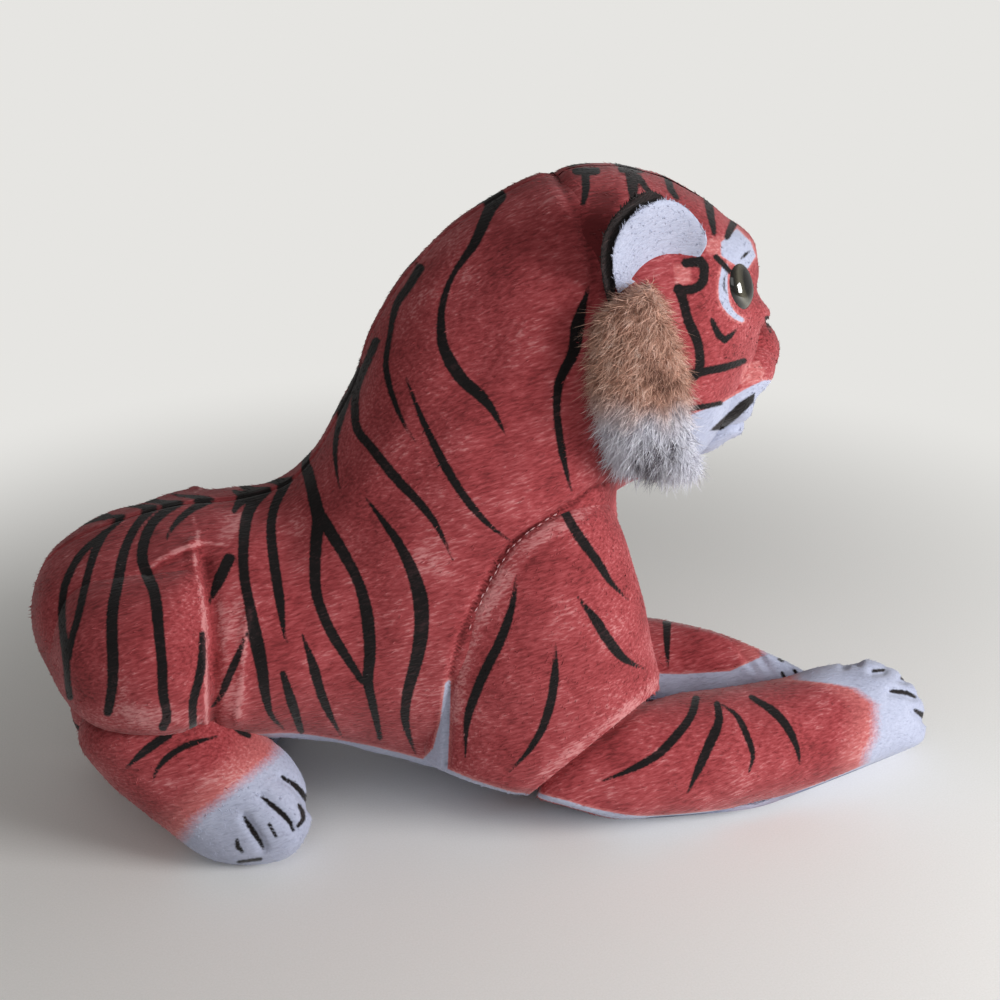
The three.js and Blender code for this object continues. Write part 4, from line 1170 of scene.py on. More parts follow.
def velboa(name, dark, body, mid, light):
    """Velboa: a knitted polyester with 2 mm pile, printed in black. It is matt, with a soft bright rim
    where the pile is seen from the side, and pale flecks where tufts turn. The darkest colour is painted
    shade on the cloth between tufts; then come two tones for most of it, and the colour of the turned
    tufts."""
    material, tree, shader, ink, pale, shade = new_material(name)
    sums, add = "ShaderNodeMath", {"operation": "MULTIPLY_ADD"}
    noise, ramp = "ShaderNodeTexNoise", "ShaderNodeValToRGB"
    mix, span = "ShaderNodeMix", "ShaderNodeMapRange"
    place = node(tree, "ShaderNodeTexCoord").outputs["Object"]
    stretch = (fleck_length / fleck_width, 1.0, 1.0)
    along_nap = node(tree, "ShaderNodeMapping", {"vector_type": "TEXTURE"}, Vector=place,
                     Rotation=(0.0, -nap_slope, 0.0), Scale=stretch).outputs[0]
    flecks = node(tree, noise, Vector=along_nap, Scale=1 / (fleck_width * MM), Detail=2.0,
                  Roughness=0.6).outputs[0]
    patches = node(tree, noise, Vector=place, Scale=1 / (patch_width * MM), Detail=3.0).outputs[0]
    fine = node(tree, noise, Vector=place, Scale=1 / (tuft_width * MM), Detail=1.0).outputs[0]
    tone = node(tree, sums, add, _0=patches, _1=0.7, _2=-0.35).outputs[0]
    tone = node(tree, sums, add, _0=flecks, _1=1.0, _2=tone).outputs[0]
    tone = node(tree, sums, add, _0=shade, _1=0.3, _2=tone).outputs[0]
    # The cloth's ramp starts at painted shade, on the cloth between tufts
    cloth, salmon, white, black = (node(tree, ramp, {"stops": stops}, Fac=tone).outputs[0] for stops in (
        [(0.12, dark), (0.42, body), (0.6, mid), (0.85, light)],
        [(0.1, "#9c4a4b"), (0.5, "#c06a69"), (0.8, "#d8a19f")],
        [(0.0, "#9094a8"), (0.35, "#a9aec4"), (0.8, "#b9bed3")],
        [(0.1, "#080606"), (0.55, "#161011"), (0.9, "#3a2628")],
    ))
    edge = node(tree, sums, add, _0=fine, _1=pale_roughness, _2=pale).outputs[0]
    to_salmon = node(tree, span, Value=edge, _1=-0.45, _2=0.55).outputs[0]
    to_white = node(tree, span, Value=edge, _1=0.5, _2=0.95).outputs[0]
    edge = node(tree, sums, add, _0=fine, _1=print_roughness, _2=ink).outputs[0]
    printed = node(tree, span, Value=edge, _1=print_edge + print_softness,
                   _2=print_edge - print_softness).outputs[0]
    colour = node(tree, mix, {"data_type": "RGBA"}, _0=to_salmon, _6=cloth, _7=salmon).outputs[2]
    colour = node(tree, mix, {"data_type": "RGBA"}, _0=to_white, _6=colour, _7=white).outputs[2]
    colour = node(tree, mix, {"data_type": "RGBA"}, _0=printed, _6=colour, _7=black).outputs[2]
    tree.links.new(colour, shader.inputs["Base Color"])
    relief = node(tree, "ShaderNodeBump", Height=flecks, Strength=0.4, Distance=tuft_width * MM).outputs[0]
    tree.links.new(relief, shader.inputs["Normal"])
    shader.inputs["Roughness"].default_value = 0.92
    shader.inputs["Specular IOR Level"].default_value = 0.15
    shader.inputs["Sheen Weight"].default_value = 0.18
    shader.inputs["Sheen Roughness"].default_value = 0.5
    return material


def long_pile():
    """Long pile fur, brushed and matted: tan tips over brown roots above, the roots' brown deepened by
    painted shade, and white with grey streaks below."""
    material, tree, shader, ink, pale, shade = new_material("long_pile_fur")
    sums, ramp, mix = "ShaderNodeMath", "ShaderNodeValToRGB", "ShaderNodeMix"
    place = node(tree, "ShaderNodeTexCoord").outputs["Object"]
    clumps = node(tree, "ShaderNodeTexNoise", Vector=place, Scale=1 / (clump_width * MM),
                  Detail=2.0).outputs[0]
    tone = node(tree, sums, {"operation": "MULTIPLY_ADD"}, _0=clumps, _1=1.3, _2=-0.2).outputs[0]
    tone = node(tree, sums, {"operation": "MULTIPLY_ADD"}, _0=shade, _1=0.3, _2=tone).outputs[0]
    tan, white, grey = (node(tree, ramp, {"stops": stops}, Fac=tone).outputs[0] for stops in (
        [(0.1, "#80594a"), (0.4, "#c69a86"), (0.65, "#d8b09e"), (0.95, "#f0dcd0")],
        [(0.0, "#9d98a1"), (0.3, "#cccbd6"), (0.6, "#dedfe8"), (0.95, "#eff0f6")],
        [(0.1, "#3a353c"), (0.8, "#77707a")],
    ))
    colour = node(tree, mix, {"data_type": "RGBA"}, _0=pale, _6=tan, _7=white).outputs[2]
    streaked = node(tree, "ShaderNodeMapRange", Value=ink, _1=0.6, _2=-0.4).outputs[0]
    colour = node(tree, mix, {"data_type": "RGBA"}, _0=streaked, _6=colour, _7=grey).outputs[2]
    tree.links.new(colour, shader.inputs["Base Color"])
    shader.inputs["Roughness"].default_value = 0.8
    shader.inputs["Specular IOR Level"].default_value = 0.2
    shader.inputs["Sheen Weight"].default_value = 0.25
    return material


def eye_finish():
    """A clear acrylic dome over a printed iris: high gloss, a brown-grey ring round a black pupil."""
    material = bpy.data.materials.new("clear_acrylic_eye")
    material.use_nodes = True
    tree = material.node_tree
    shader = tree.nodes["Principled BSDF"]
    ring = node(tree, "ShaderNodeAttribute", {"attribute_name": "ring"}).outputs["Fac"]
    place = node(tree, "ShaderNodeTexCoord").outputs["Object"]
    grain = node(tree, "ShaderNodeTexNoise", Vector=place, Scale=1 / (iris_grain * MM),
                 Detail=2.0).outputs[0]
    wavy = node(tree, "ShaderNodeMath", {"operation": "MULTIPLY_ADD"}, _0=grain, _1=0.05,
                _2=ring).outputs[0]
    stops = [(0.0, "#0c0a09"), (0.6, "#110f0e"), (0.68, "#3a372e"), (0.84, "#575347"), (0.93, "#2c281f"),
             (0.99, "#0d0b0a")]
    colour = node(tree, "ShaderNodeValToRGB", {"stops": stops}, Fac=wavy).outputs[0]
    tree.links.new(colour, shader.inputs["Base Color"])
    shader.inputs["Roughness"].default_value = 0.08
    shader.inputs["Coat Weight"].default_value = 1.0
    shader.inputs["Coat Roughness"].default_value = 0.03
    return material


def moulded_washer():
    """Natural polyethylene, moulded: off-white and slightly waxy, with faint flow marks."""
    material = bpy.data.materials.new("moulded_polyethylene")
    material.use_nodes = True
    tree = material.node_tree
    place = node(tree, "ShaderNodeTexCoord").outputs["Object"]
    flow = node(tree, "ShaderNodeTexNoise", Vector=place, Scale=1 / (flow_width * MM),
                Detail=2.0).outputs[0]
    stops = [(0.3, "#cfcec8"), (0.7, "#e0dfda")]
    colour = node(tree, "ShaderNodeValToRGB", {"stops": stops}, Fac=flow).outputs[0]
    tree.links.new(colour, tree.nodes["Principled BSDF"].inputs["Base Color"])
    tree.nodes["Principled BSDF"].inputs["Roughness"].default_value = 0.45
    return material


def floor_paper():
    """Matt paper. Away from the toy the camera, and it alone, sees it as bright as the surroundings."""
    material = bpy.data.materials.new("matt_paper")
    material.use_nodes = True
    tree = material.node_tree
    shader = tree.nodes["Principled BSDF"]
    place = node(tree, "ShaderNodeTexCoord").outputs["Object"]
    fibres = node(tree, "ShaderNodeTexNoise", Vector=place, Scale=1 / (paper_grain * MM),
                  Detail=2.0).outputs[0]
    stops = [(0.3, "#f0efec"), (0.7, "#f6f5f3")]
    colour = node(tree, "ShaderNodeValToRGB", {"stops": stops}, Fac=fibres).outputs[0]
    tree.links.new(colour, shader.inputs["Base Color"])
    shader.inputs["Roughness"].default_value = 0.95
    shader.inputs["Specular IOR Level"].default_value = 0.1
    away = node(tree, "ShaderNodeVectorMath", {"operation": "LENGTH"}, Vector=place).outputs["Value"]
    seen = node(tree, "ShaderNodeLightPath").outputs["Is Camera Ray"]
    share = node(tree, "ShaderNodeMapRange", {"interpolation_type": "SMOOTHSTEP"}, Value=away,
                 _1=floor_near * MM, _2=floor_far * MM, _4=seen).outputs[0]
    glow = node(tree, "ShaderNodeEmission", Color=srgb(backdrop_colour)).outputs[0]
    both = node(tree, "ShaderNodeMixShader", _0=share, _1=shader.outputs[0], _2=glow).outputs[0]
    tree.links.new(both, tree.nodes["Material Output"].inputs["Surface"])
    return material


red_velboa = velboa("red_velboa", "#6a2326", "#963a3e", "#a94c50", "#cb8485")
dark_velboa = velboa("black_velboa", "#0e0a0b", "#1e1616", "#2c2020", "#5c4440")
fur = long_pile()
eye_resin = eye_finish()
washer_plastic = moulded_washer()


# Pieces

def dressed(piece, nodes, slot, body=None, bend=None, fill=stuffing_share):
    """Hides the CAD nodes that a soft piece stands for, and attaches it to the body that it moves with; a
    piece that spans two bodies is baked in place instead. The slot is not used.
    """
    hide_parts(*nodes)
    if bend:
        body_a, body_b, start, end = bend
        start, end = ((np.array(place) + toy_shift) * MM for place in (start, end))
        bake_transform(piece)
    else:
        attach(piece, body)
    return piece


def blank_values(grid):
    """No print, no white, and a little painted shade on the cloth between the tufts."""
    shape = grid.shape[:2]
    return {
        "ink": np.full(shape, far_away),
        "pale": np.full(shape, no_white),
        "shade": np.full(shape, painted_shade_between_tufts),
    }


def stuffed(name, grid, values, nap, nodes, slot, material=red_velboa, kind=short_pile, keep=None, seed=1,
            extra=(), **moves):
    """A closed stuffed skin with its pile and stitches, which stands for its CAD cover and filling."""
    tufts = pile(grid, form_normals(grid), values, nap, seed, kind, keep=keep)
    piece = make_piece(name, joined([closed_part(grid, values), tufts, *extra]), material)
    return dressed(piece, nodes, slot, **moves)


# Which way each piece's pile is brushed, and the bodies and places given with a skin that spans two bodies
body_nap = np.array([-0.93, 0.0, -0.37])
arm_nap = np.array([-0.35, 0.0, -0.94])
foreleg_nap = np.array([0.95, 0.0, -0.3])
foot_nap = np.array([0.6, 0.0, -0.8])
head_nap = np.array([-1.0, 0.0, 0.1])
ruff_nap = np.array([-0.45, 0.25, -0.9])
neck_bend_way = np.array([0.643, 0.0, 0.766])
neck_bend = ("body", "head", neck_bend_way * 95.0, neck_bend_way * 135.0)
elbow_bend_way = np.array([0.6, 0.0, -0.8])
elbow_bend_from = -4.0
elbow_bend_to = 18.0
hock_bend_place = np.array([-115.0, 30.0, 0.0])
hock_bend_from = np.array([0.0, 0.0, 57.0])
hock_bend_to = np.array([0.0, 0.0, 40.0])
tail_bend_from = np.array([0.0, 0.0, 2.0])
tail_bend_to = np.array([0.0, 0.0, -12.0])


def body_values(grid):
    """The body's print, its painted shade in seams and creases and painted highlights along folds and
    ridges, its lighter patches, and its white belly edge and wedge.
    """
    near = near_side(grid)
    values = blank_values(grid)
    values["ink"] = mark_distance(near, body_stripes, print_growth)
    white = np.minimum(mark_distance(near, [belly_edge]), patch_distance(near, shoulder_wedge))
    values["pale"] = white_share(white, cloth_edge_softness)
    values["shade"] = shaded(near, values["shade"], body_shades)
    return values


def body_grids():
    """One side panel and the belly gusset on one form: each ring's angles are split at the gusset."""
    rows = rings(body_shares, body_size, (rump_x, 0.0, 0.0))
    read = read_rings(rows, even_places(rows, skin_step))
    share = np.linspace(0, 1, len(read))
    inside = np.clip((share - belly_from_share) / (belly_to_share - belly_from_share), 0, 1)
    gusset = belly_half_angle * np.sin(math.pi * inside) ** belly_point_power
    panel = (math.pi - gusset)[:, None] * np.linspace(0, 1, panel_columns)
    middle = math.pi + gusset[:, None] * np.linspace(-1, 1, belly_columns)
    open_rings = gusset > least_gusset
    return ring_points(read, -panel), ring_points(read[open_rings], middle[open_rings])


def stitched_panel(grid, folds):
    """An open panel's stuffed shape: pushed into place, uneven, creased, and drawn in along its edges."""
    grid = pushed(grid, body_pushes)
    normal = outward_normals(grid)
    grid = grid + normal * lumps(grid)[..., None]
    columns = grid.shape[1]
    run = np.minimum(np.arange(columns), np.arange(columns)[::-1]) * skin_step
    grid = dip(grid, normal, np.broadcast_to(run, grid.shape[:2]))
    grid = folded(grid, normal, folds)
    return pressed(grid, (0, 0, 1), (0, 0, panel_floor))


def outward_normals(grid):
    """Normals of an open panel, turned away from the toy's middle line."""
    normal = normals_of(grid, wraps=False)
    centre = grid.mean(axis=1, keepdims=True) * [1, 0, 1]
    return normal if (normal * (grid - centre)).sum() > 0 else -normal


def panel_piece(name, grid, values, nodes, slot, seed):
    """An open panel of the body: its long edges are turned in where it is sewn to its neighbours."""
    normal = outward_normals(grid)
    above_floor = grid[..., 2] > pile_floor
    tufts = pile(grid, normal, values, body_nap, seed, short_pile, wraps=False, keep=above_floor)
    first = grid[:, :1] - normal[:, :1] * hem_depth
    last = grid[:, -1:] - normal[:, -1:] * hem_depth
    hemmed = np.concatenate([first, grid, last], axis=1)
    values = {key: np.pad(value, ((0, 0), (1, 1)), mode="edge") for key, value in values.items()}
    skin = grid_part(hemmed, values, wraps=False)
    a, b, c = (skin["points"][skin["triangles"][:, k]] for k in range(3))
    out = np.pad(normal, ((0, 0), (1, 1), (0, 0)), mode="edge").reshape(-1, 3)[skin["triangles"][:, 0]]
    if (np.cross(b - a, c - a) * out).sum() < 0:
        skin["triangles"], skin["chart"] = skin["triangles"][:, ::-1], skin["chart"][:, ::-1]
    piece = make_piece(name, joined([skin, tufts]), red_velboa)
    return dressed(piece, nodes, slot, bend=neck_bend)


def make_body():
    """Both side panels, the left one the right one's mirror, and the belly gusset."""
    right, belly = body_grids()
    right = stitched_panel(right, body_folds)
    values = body_values(right)
    panel_piece("body_panel_right_skin", right, values, ["body_panel_right", "body_filling"], "red_velboa",
                seed=11)
    panel_piece("body_panel_left_skin", right * [1, -1, 1], values, ["body_panel_left"], "red_velboa",
                seed=12)
    belly = stitched_panel(belly, [])
    white = blank_values(belly)
    white["pale"] = np.full(belly.shape[:2], all_white)
    panel_piece("belly_skin", belly, white, ["belly_panel"], "white_velboa", seed=13)


def arm_skin():
    """The right upper arm over the whole length of its form, with its print."""
    start = (arm_start[-1], -arm_spread, -floor_flat)
    grid = closed_form(rings(arm_shares, arm_size, start, -1))
    grid = trimmed(grid, *arm_underline)
    normal = form_normals(grid)
    grid = grid + normal * lumps(grid, seed=2)[..., None]
    grid = folded(grid, normal, arm_folds)
    near = near_side(grid)
    values = blank_values(grid)
    values["ink"] = mark_distance(near, arm_stripes, print_growth)
    white = np.minimum(mark_distance(near, [belly_edge]), patch_distance(near, shoulder_wedge))
    values["pale"] = white_share(white, cloth_edge_softness)
    values["shade"] = shaded(near, values["shade"], arm_shades)
    return grid, values


def foreleg_skin():
    """The right foreleg over the whole length of its form, with its print, its white paw and white edge."""
    origin = np.array([foreleg_start[-1], -foreleg_spread, -floor_flat])
    grid = closed_form(rings(foreleg_form_shares, foreleg_size, origin, -1), step=foot_step)
    share = np.maximum(grid[..., 0] - origin[0], 0) / foreleg_size[0]
    grid[..., 1] += turn_in[-1] * share**turn_power
    normal = form_normals(grid)
    grid = grid + normal * lumps(grid, seed=3)[..., None]
    grid = folded(grid, normal, [(line, -toe_depth, toe_reach) for line, _ in paw_toe_lines])
    values = blank_values(grid)
    values["ink"] = np.minimum(mark_distance(grid, forearm_stripes, print_growth),
                               mark_distance(grid, paw_toe_lines) - toe_spread)
    outer = grid[..., 1] - origin[1] - turn_in[-1] * share**turn_power
    values["ink"] = np.where(outer < foreleg_size[2] * print_side_share, values["ink"], far_away)
    values["pale"] = white_share(-edge_side(grid, near_paw_edge), paw_fade)
    edge = white_share(mark_distance(grid, [forearm_edge]), cloth_edge_softness)
    values["pale"] = np.maximum(values["pale"], np.where(outer < 0, edge, no_white))
    return grid, values


def make_arm(side, name):
    """Upper arm, and forearm with its cover and underside. They are shaped as the right ones, and the left
    ones are their mirrors, further back. They are cut apart by a plane through the elbow seam."""
    arm_back = np.array([arm_start[side] - arm_start[-1], 0.0, 0.0])
    leg_back = np.array([foreleg_start[side] - foreleg_start[-1], 0.0, 0.0])
    mirror = np.array([1, -side, 1])
    out = np.cross(pixel_ray(elbow_seam[1]), pixel_ray(elbow_seam[0]))
    out /= np.linalg.norm(out)
    grid, values = arm_skin()
    elbow_gap = plane_distance(grid, out, camera_place)
    grid = dip(grid, form_normals(grid), elbow_gap)
    grid = pressed(grid, -out, camera_place + out * cut_gap)
    grid = pressed(grid, (0, 0, 1), (0, 0, 0))
    shown = (grid[..., 1] < -arm_spread + hidden_depth) | (grid[..., 0] > arm_start[-1] + arm_front)
    keep = (elbow_gap < pile_margin) & (grid[..., 2] > pile_floor) & shown
    thread = stitches(grid, stitch_line, values)
    thread["points"] = (thread["points"] + arm_back) * mirror
    if side > 0:
        thread["triangles"], thread["chart"] = thread["triangles"][:, ::-1], thread["chart"][:, ::-1]
    stuffed(f"upper_arm_{name}_skin", (grid + arm_back) * mirror, values, arm_nap,
            [f"upper_arm_cover_{name}", f"upper_arm_filling_{name}"], "red_velboa", keep=keep,
            seed=21 + side, extra=[thread], body="body")

    leg, values = foreleg_skin()
    share = np.maximum(leg[..., 0] - foreleg_start[-1], 0) / foreleg_size[0]
    leg[..., 1] += (turn_in[side] - turn_in[-1]) * share**turn_power
    leg = held_in(leg + leg_back - arm_back, leg_lines) + arm_back
    if side > 0:
        leg, values = far_leg(leg * mirror, values, share)
        leg = leg * mirror
    normal = form_normals(leg)
    elbow_gap = plane_distance(leg - arm_back, out, camera_place)
    leg = dip(leg, normal, elbow_gap)
    chord = np.array([foreleg_size[0], turn_in[side], 0])
    chord /= np.linalg.norm(chord)
    tilt = np.cross(chord, [0, 0, 1]) * underside_rise + [0, 0, 1]
    tilt /= np.linalg.norm(tilt)
    seam_at = np.array([foreleg_start[side], -foreleg_spread, underside_share * foreleg_size[1]])
    seam_gap = plane_distance(leg, tilt, seam_at)
    leg = dip(leg, normal, seam_gap, underside_valley, underside_valley_reach)
    leg = pressed(leg, out, camera_place + arm_back - out * cut_gap)
    leg = pressed(leg, (0, 0, 1), (0, 0, 0))
    elbow = np.array([elbow_share * arm_size[0], 0.0, elbow_height_share * arm_size[1]])
    elbow += [arm_start[side], -arm_spread, 0.0]
    start, end = (elbow + elbow_bend_way * reach for reach in (elbow_bend_from, elbow_bend_to))
    bend = ("body", f"forearm_{name}", start * mirror, end * mirror)
    above_floor = leg[..., 2] > pile_floor
    keep = (elbow_gap > -pile_margin) & (seam_gap > -pile_margin) & above_floor
    cover = pressed(leg, tilt, seam_at - tilt * half_gap) * mirror
    stuffed(f"forearm_{name}_skin", cover, values, foreleg_nap,
            [f"forearm_cover_{name}", f"forearm_filling_{name}"], "red_velboa", keep=keep,
            seed=31 + side, bend=bend)
    white = blank_values(leg)
    white["pale"] = np.full(leg.shape[:2], all_white)
    keep = (elbow_gap > -pile_margin) & (seam_gap < pile_margin) & above_floor
    underside = pressed(leg, -tilt, seam_at + tilt * half_gap)
    underside = (held_in(underside - arm_back, leg_lines) + arm_back) * mirror
    stuffed(f"forearm_{name}_underside_skin", underside, white, foreleg_nap,
            [f"forearm_underside_{name}"], "white_velboa", keep=keep, seed=41 + side, bend=bend)


def far_leg(leg, values, share):
    """The left foreleg's own outline and print, where the photograph shows its inner side."""
    leg = held_in(leg, far_leg_lines)
    near = leg[..., 1] < foreleg_spread - turn_in[1] * share**turn_power + far_leg_band
    marks = np.minimum(mark_distance(leg, far_forearm_stripes, print_growth),
                       mark_distance(leg, far_paw_toe_lines) - toe_spread)
    values["ink"] = np.where(near, marks, values["ink"])
    pale = white_share(-edge_side(leg, far_paw_edge), paw_fade)
    under = white_share(patch_distance(leg, far_underside), cloth_edge_softness)
    values["pale"] = np.where(near, np.maximum(pale, under), pale)
    return leg, values


def make_hind_leg(side, name):
    """Haunch, and hind foot with its lower leg."""
    start = (haunch_start, -haunch_spread, haunch_floor)
    grid = pushed(closed_form(rings(haunch_shares, haunch_size, start, -1)), haunch_pushes)
    normal = form_normals(grid)
    grid = grid + normal * lumps(grid, seed=4)[..., None]
    grid = folded(grid, normal, body_folds)
    hock = grid[..., 2] - hock_z
    grid = dip(grid, normal, hock)
    values = body_values(grid)
    shown = grid[..., 1] < -haunch_spread + hidden_depth
    grid = pressed(grid, (0, 0, 1), (0, 0, hock_z - cut_gap)) * [1, -side, 1]
    if side > 0:
        grid = held_in(grid, far_back_lines)
    stuffed(f"haunch_{name}_skin", grid, values, body_nap,
            [f"haunch_cover_{name}", f"haunch_filling_{name}"], "red_velboa",
            keep=(hock > -pile_margin) & shown, seed=51 + side, body="body")
    start = (foot_start, -haunch_spread, -floor_flat)
    foot = closed_form(rings(foot_shares, foot_size, start, -1), step=foot_step)
    normal = form_normals(foot)
    foot = foot + normal * lumps(foot, seed=5)[..., None]
    toes = foot_toe_lines[:toe_count]
    foot = folded(foot, normal, [(line, -toe_depth, toe_reach) for line, _ in toes])
    values = blank_values(foot)
    values["ink"] = np.minimum(mark_distance(foot, foot_stripes, print_growth),
                               mark_distance(foot, foot_toe_lines) - toe_spread)
    values["pale"] = white_share(-edge_side(foot, foot_fade_edge), foot_fade)
    hock = foot[..., 2] - hock_z
    foot = dip(foot, normal, hock)
    foot = pressed(foot, (0, 0, -1), (0, 0, hock_z + cut_gap))
    foot = pressed(foot, (0, 0, 1), (0, 0, 0)) * [1, -side, 1]
    place = hock_bend_place * [1, side, 1]
    bend = ("body", f"hind_foot_{name}", place + hock_bend_from, place + hock_bend_to)
    keep = (hock < pile_margin) & (foot[..., 2] > pile_floor)
    stuffed(f"hind_foot_{name}_skin", foot, values, foot_nap,
            [f"hind_foot_cover_{name}", f"hind_foot_filling_{name}"], "red_velboa", keep=keep,
            seed=61 + side, bend=bend)


def tube(points, radii, sides):
    """Circles of the given radii carried along a path, each square to it and level sideways."""
    along = np.gradient(points, axis=0)
    along /= np.linalg.norm(along, axis=1, keepdims=True)
    level = np.cross(along, [0.0, 0.0, 1.0])
    level /= np.maximum(np.linalg.norm(level, axis=1, keepdims=True), tiny)
    rise = np.cross(level, along)
    angle = np.arange(sides) / sides * 2 * math.pi
    ring = level[:, None] * np.cos(angle)[None, :, None] + rise[:, None] * np.sin(angle)[None, :, None]
    return points[:, None] + ring * radii[:, None, None]


def make_tail():
    """A stuffed tube on the CAD tail's route, with a round tip and rings of print."""
    radius = tail_diameter / 2
    lift = np.array([rump_x, 0, radius - floor_flat])
    route = np.array(tail_route_shares) * [body_size[0], body_size[2], body_size[1]] + lift
    tip = route[-1] - route[-2]
    route = np.vstack([route, route[-1] + tip / np.linalg.norm(tip) * radius])
    points, length = path_through(route, skin_step)
    from_tip = np.linspace(length, 0, len(points))
    rounding = 1 - (1 - np.clip(from_tip / radius, 0, 1)) ** 2
    radii = radius * np.sqrt(np.clip(rounding, tail_least_share, 1))
    grid = tube(points, radii, tail_columns)
    values = blank_values(grid)
    band = (from_tip - tail_ring_start) % tail_ring_gap
    band = np.abs(band - tail_ring_gap / 2) - tail_ring_width / 2
    uneven = lumps(grid, tail_ring_unevenness, tail_ring_wave, seed=7)
    values["ink"] = np.broadcast_to(band[:, None], grid.shape[:2]) + uneven
    values["ink"] = np.minimum(values["ink"], (from_tip - tail_tip_length)[:, None])
    grid = pressed(grid, (0, 0, 1), (0, 0, 0))
    nap = np.gradient(points, axis=0)[:, None]
    bend = ("body", "tail", route[0] + tail_bend_from, route[0] + tail_bend_to)
    stuffed("tail_skin", grid, values, nap, ["tail_cover", "tail_filling"], "red_velboa",
            keep=grid[..., 2] > pile_floor, seed=71, bend=bend)


def head_place(x_share, z_share, y=0.0):
    """A place on the head, by shares of its length and height from the foot of the neck seam."""
    return np.array([neck_x + x_share * head_size[0], y, throat_z + z_share * head_size[1]])


def face_values(grid):
    """The face's print and its white, read on the right side for both."""
    twin = near_side(grid)
    values = blank_values(grid)
    values["ink"] = mark_distance(twin, head_stripes, face_growth)
    values["ink"] = np.minimum(values["ink"], patch_distance(twin, mouth_mark))
    white = np.minimum(patch_distance(twin, white_brow), patch_distance(twin, white_jaw))
    white = np.minimum(white, mark_distance(twin, [white_under_eye]))
    values["pale"] = white_share(white, face_softness)
    for patch in blush_patches:
        blush = blush_share - np.maximum(patch_distance(twin, patch), 0) / face_softness
        values["pale"] = np.maximum(values["pale"], blush)
    values["shade"] = shaded(twin, values["shade"], head_shades)
    return values


def make_head():
    """Head panels, muzzle, chin and nose."""
    grid = closed_form(rings(head_shares, head_size, (neck_x, 0, throat_z)), step=head_step)
    grid = pushed(grid, head_pushes)
    normal = form_normals(grid)
    grid = grid + normal * lumps(grid, head_lump_height, head_lump_width, seed=6)[..., None]
    grid = folded(grid, normal, head_folds)
    values = face_values(grid)
    neck_gap = grid[..., 0] - neck_x
    grid = dip(grid, normal, neck_gap, depth=neck_valley)
    grid = dip(grid, normal, grid[..., 1], depth=crown_valley)
    grid = pressed(grid, (1, 0, 0), (neck_x - neck_overlap, 0, 0))
    for side, name in sides:
        nodes = [f"head_panel_{name}"] + (["head_filling"] if side < 0 else [])
        keep = (neck_gap > -pile_margin) & (grid[..., 1] * side > -crown_margin)
        half = pressed(grid, (0, side, 0), (0, -side * half_gap, 0))
        stuffed(f"head_{name}_skin", half, values, head_nap, nodes, "red_velboa", keep=keep,
                seed=81 + side, body="head")
    start = head_place(*muzzle_place_shares)
    muzzle = closed_form(rings(muzzle_shares, muzzle_size, start), step=face_step)
    muzzle = pushed(muzzle, muzzle_pushes)
    stuffed("muzzle_skin", muzzle, face_values(muzzle), head_nap, ["muzzle_cover", "muzzle_filling"],
            "red_velboa", seed=91, body="head")
    chin = closed_form(rings(chin_shares, chin_size, head_place(*chin_place_shares)), step=face_step)
    chin = pushed(chin, muzzle_pushes)
    stuffed("chin_skin", chin, face_values(chin), head_nap, ["chin"], "white_velboa", seed=92, body="head")
    turn = np.arange(nose_columns) / nose_columns * 2 * math.pi
    angle = ((np.arange(nose_rows) + 0.5) / nose_rows * math.pi)[:, None]
    ball = np.stack([
        np.sin(angle) * np.cos(turn),
        np.sin(angle) * np.sin(turn),
        np.cos(angle) + 0 * turn,
    ], axis=-1)
    nose = head_place(*nose_shares) + ball * np.array(nose_form_size) / 2
    nose_print = face_values(nose)
    nose_print["shade"] = nose_print["shade"] + nose_shade
    stuffed("nose_skin", nose, nose_print, head_nap, ["nose"], "nose_cloth", seed=93, body="head")


def make_cheek(side, name):
    """Long pile ruff on the cheek, tan above and white below. It is mirrored from the right one."""
    corner = head_place(*ruff_place_shares, -ruff_side_share * head_size[2])
    grid = closed_form(rings(ruff_form_shares, ruff_size, corner, -1), step=ruff_step)
    grid = pushed(grid - form_normals(grid) * ruff_skin_drop, ruff_pushes)
    grid = held_in(grid, ruff_lines)
    pixels, _ = photo_pixels(grid)
    values = blank_values(grid)
    uneven = lumps(grid, ruff_white_unevenness, ruff_white_wave, seed=8)
    values["pale"] = smooth_step((pixels[..., 1] - ruff_white_from) / ruff_white_span + uneven)
    values["ink"] = mark_distance(grid, ruff_streaks)
    values["shade"] = shaded(grid, values["shade"], ruff_shades)
    grid = pressed(grid, (1, 0, 0), (neck_x + ruff_neck_gap, 0, 0)) * [1, -side, 1]
    keep = grid[..., 1] * side > ruff_inner
    stuffed(f"cheek_ruff_{name}_pile", grid, values, ruff_nap * [1, side, 1], [f"cheek_ruff_{name}"],
            "long_pile", material=fur, kind=ruff_pile, keep=keep, seed=101 + side, body="head")


def turned(points, axis, angle):
    """Points turned about an axis through the origin."""
    axis = np.array(axis, float)
    along = (points @ axis)[..., None] * axis
    return along + (points - along) * math.cos(angle) + np.cross(axis, points) * math.sin(angle)


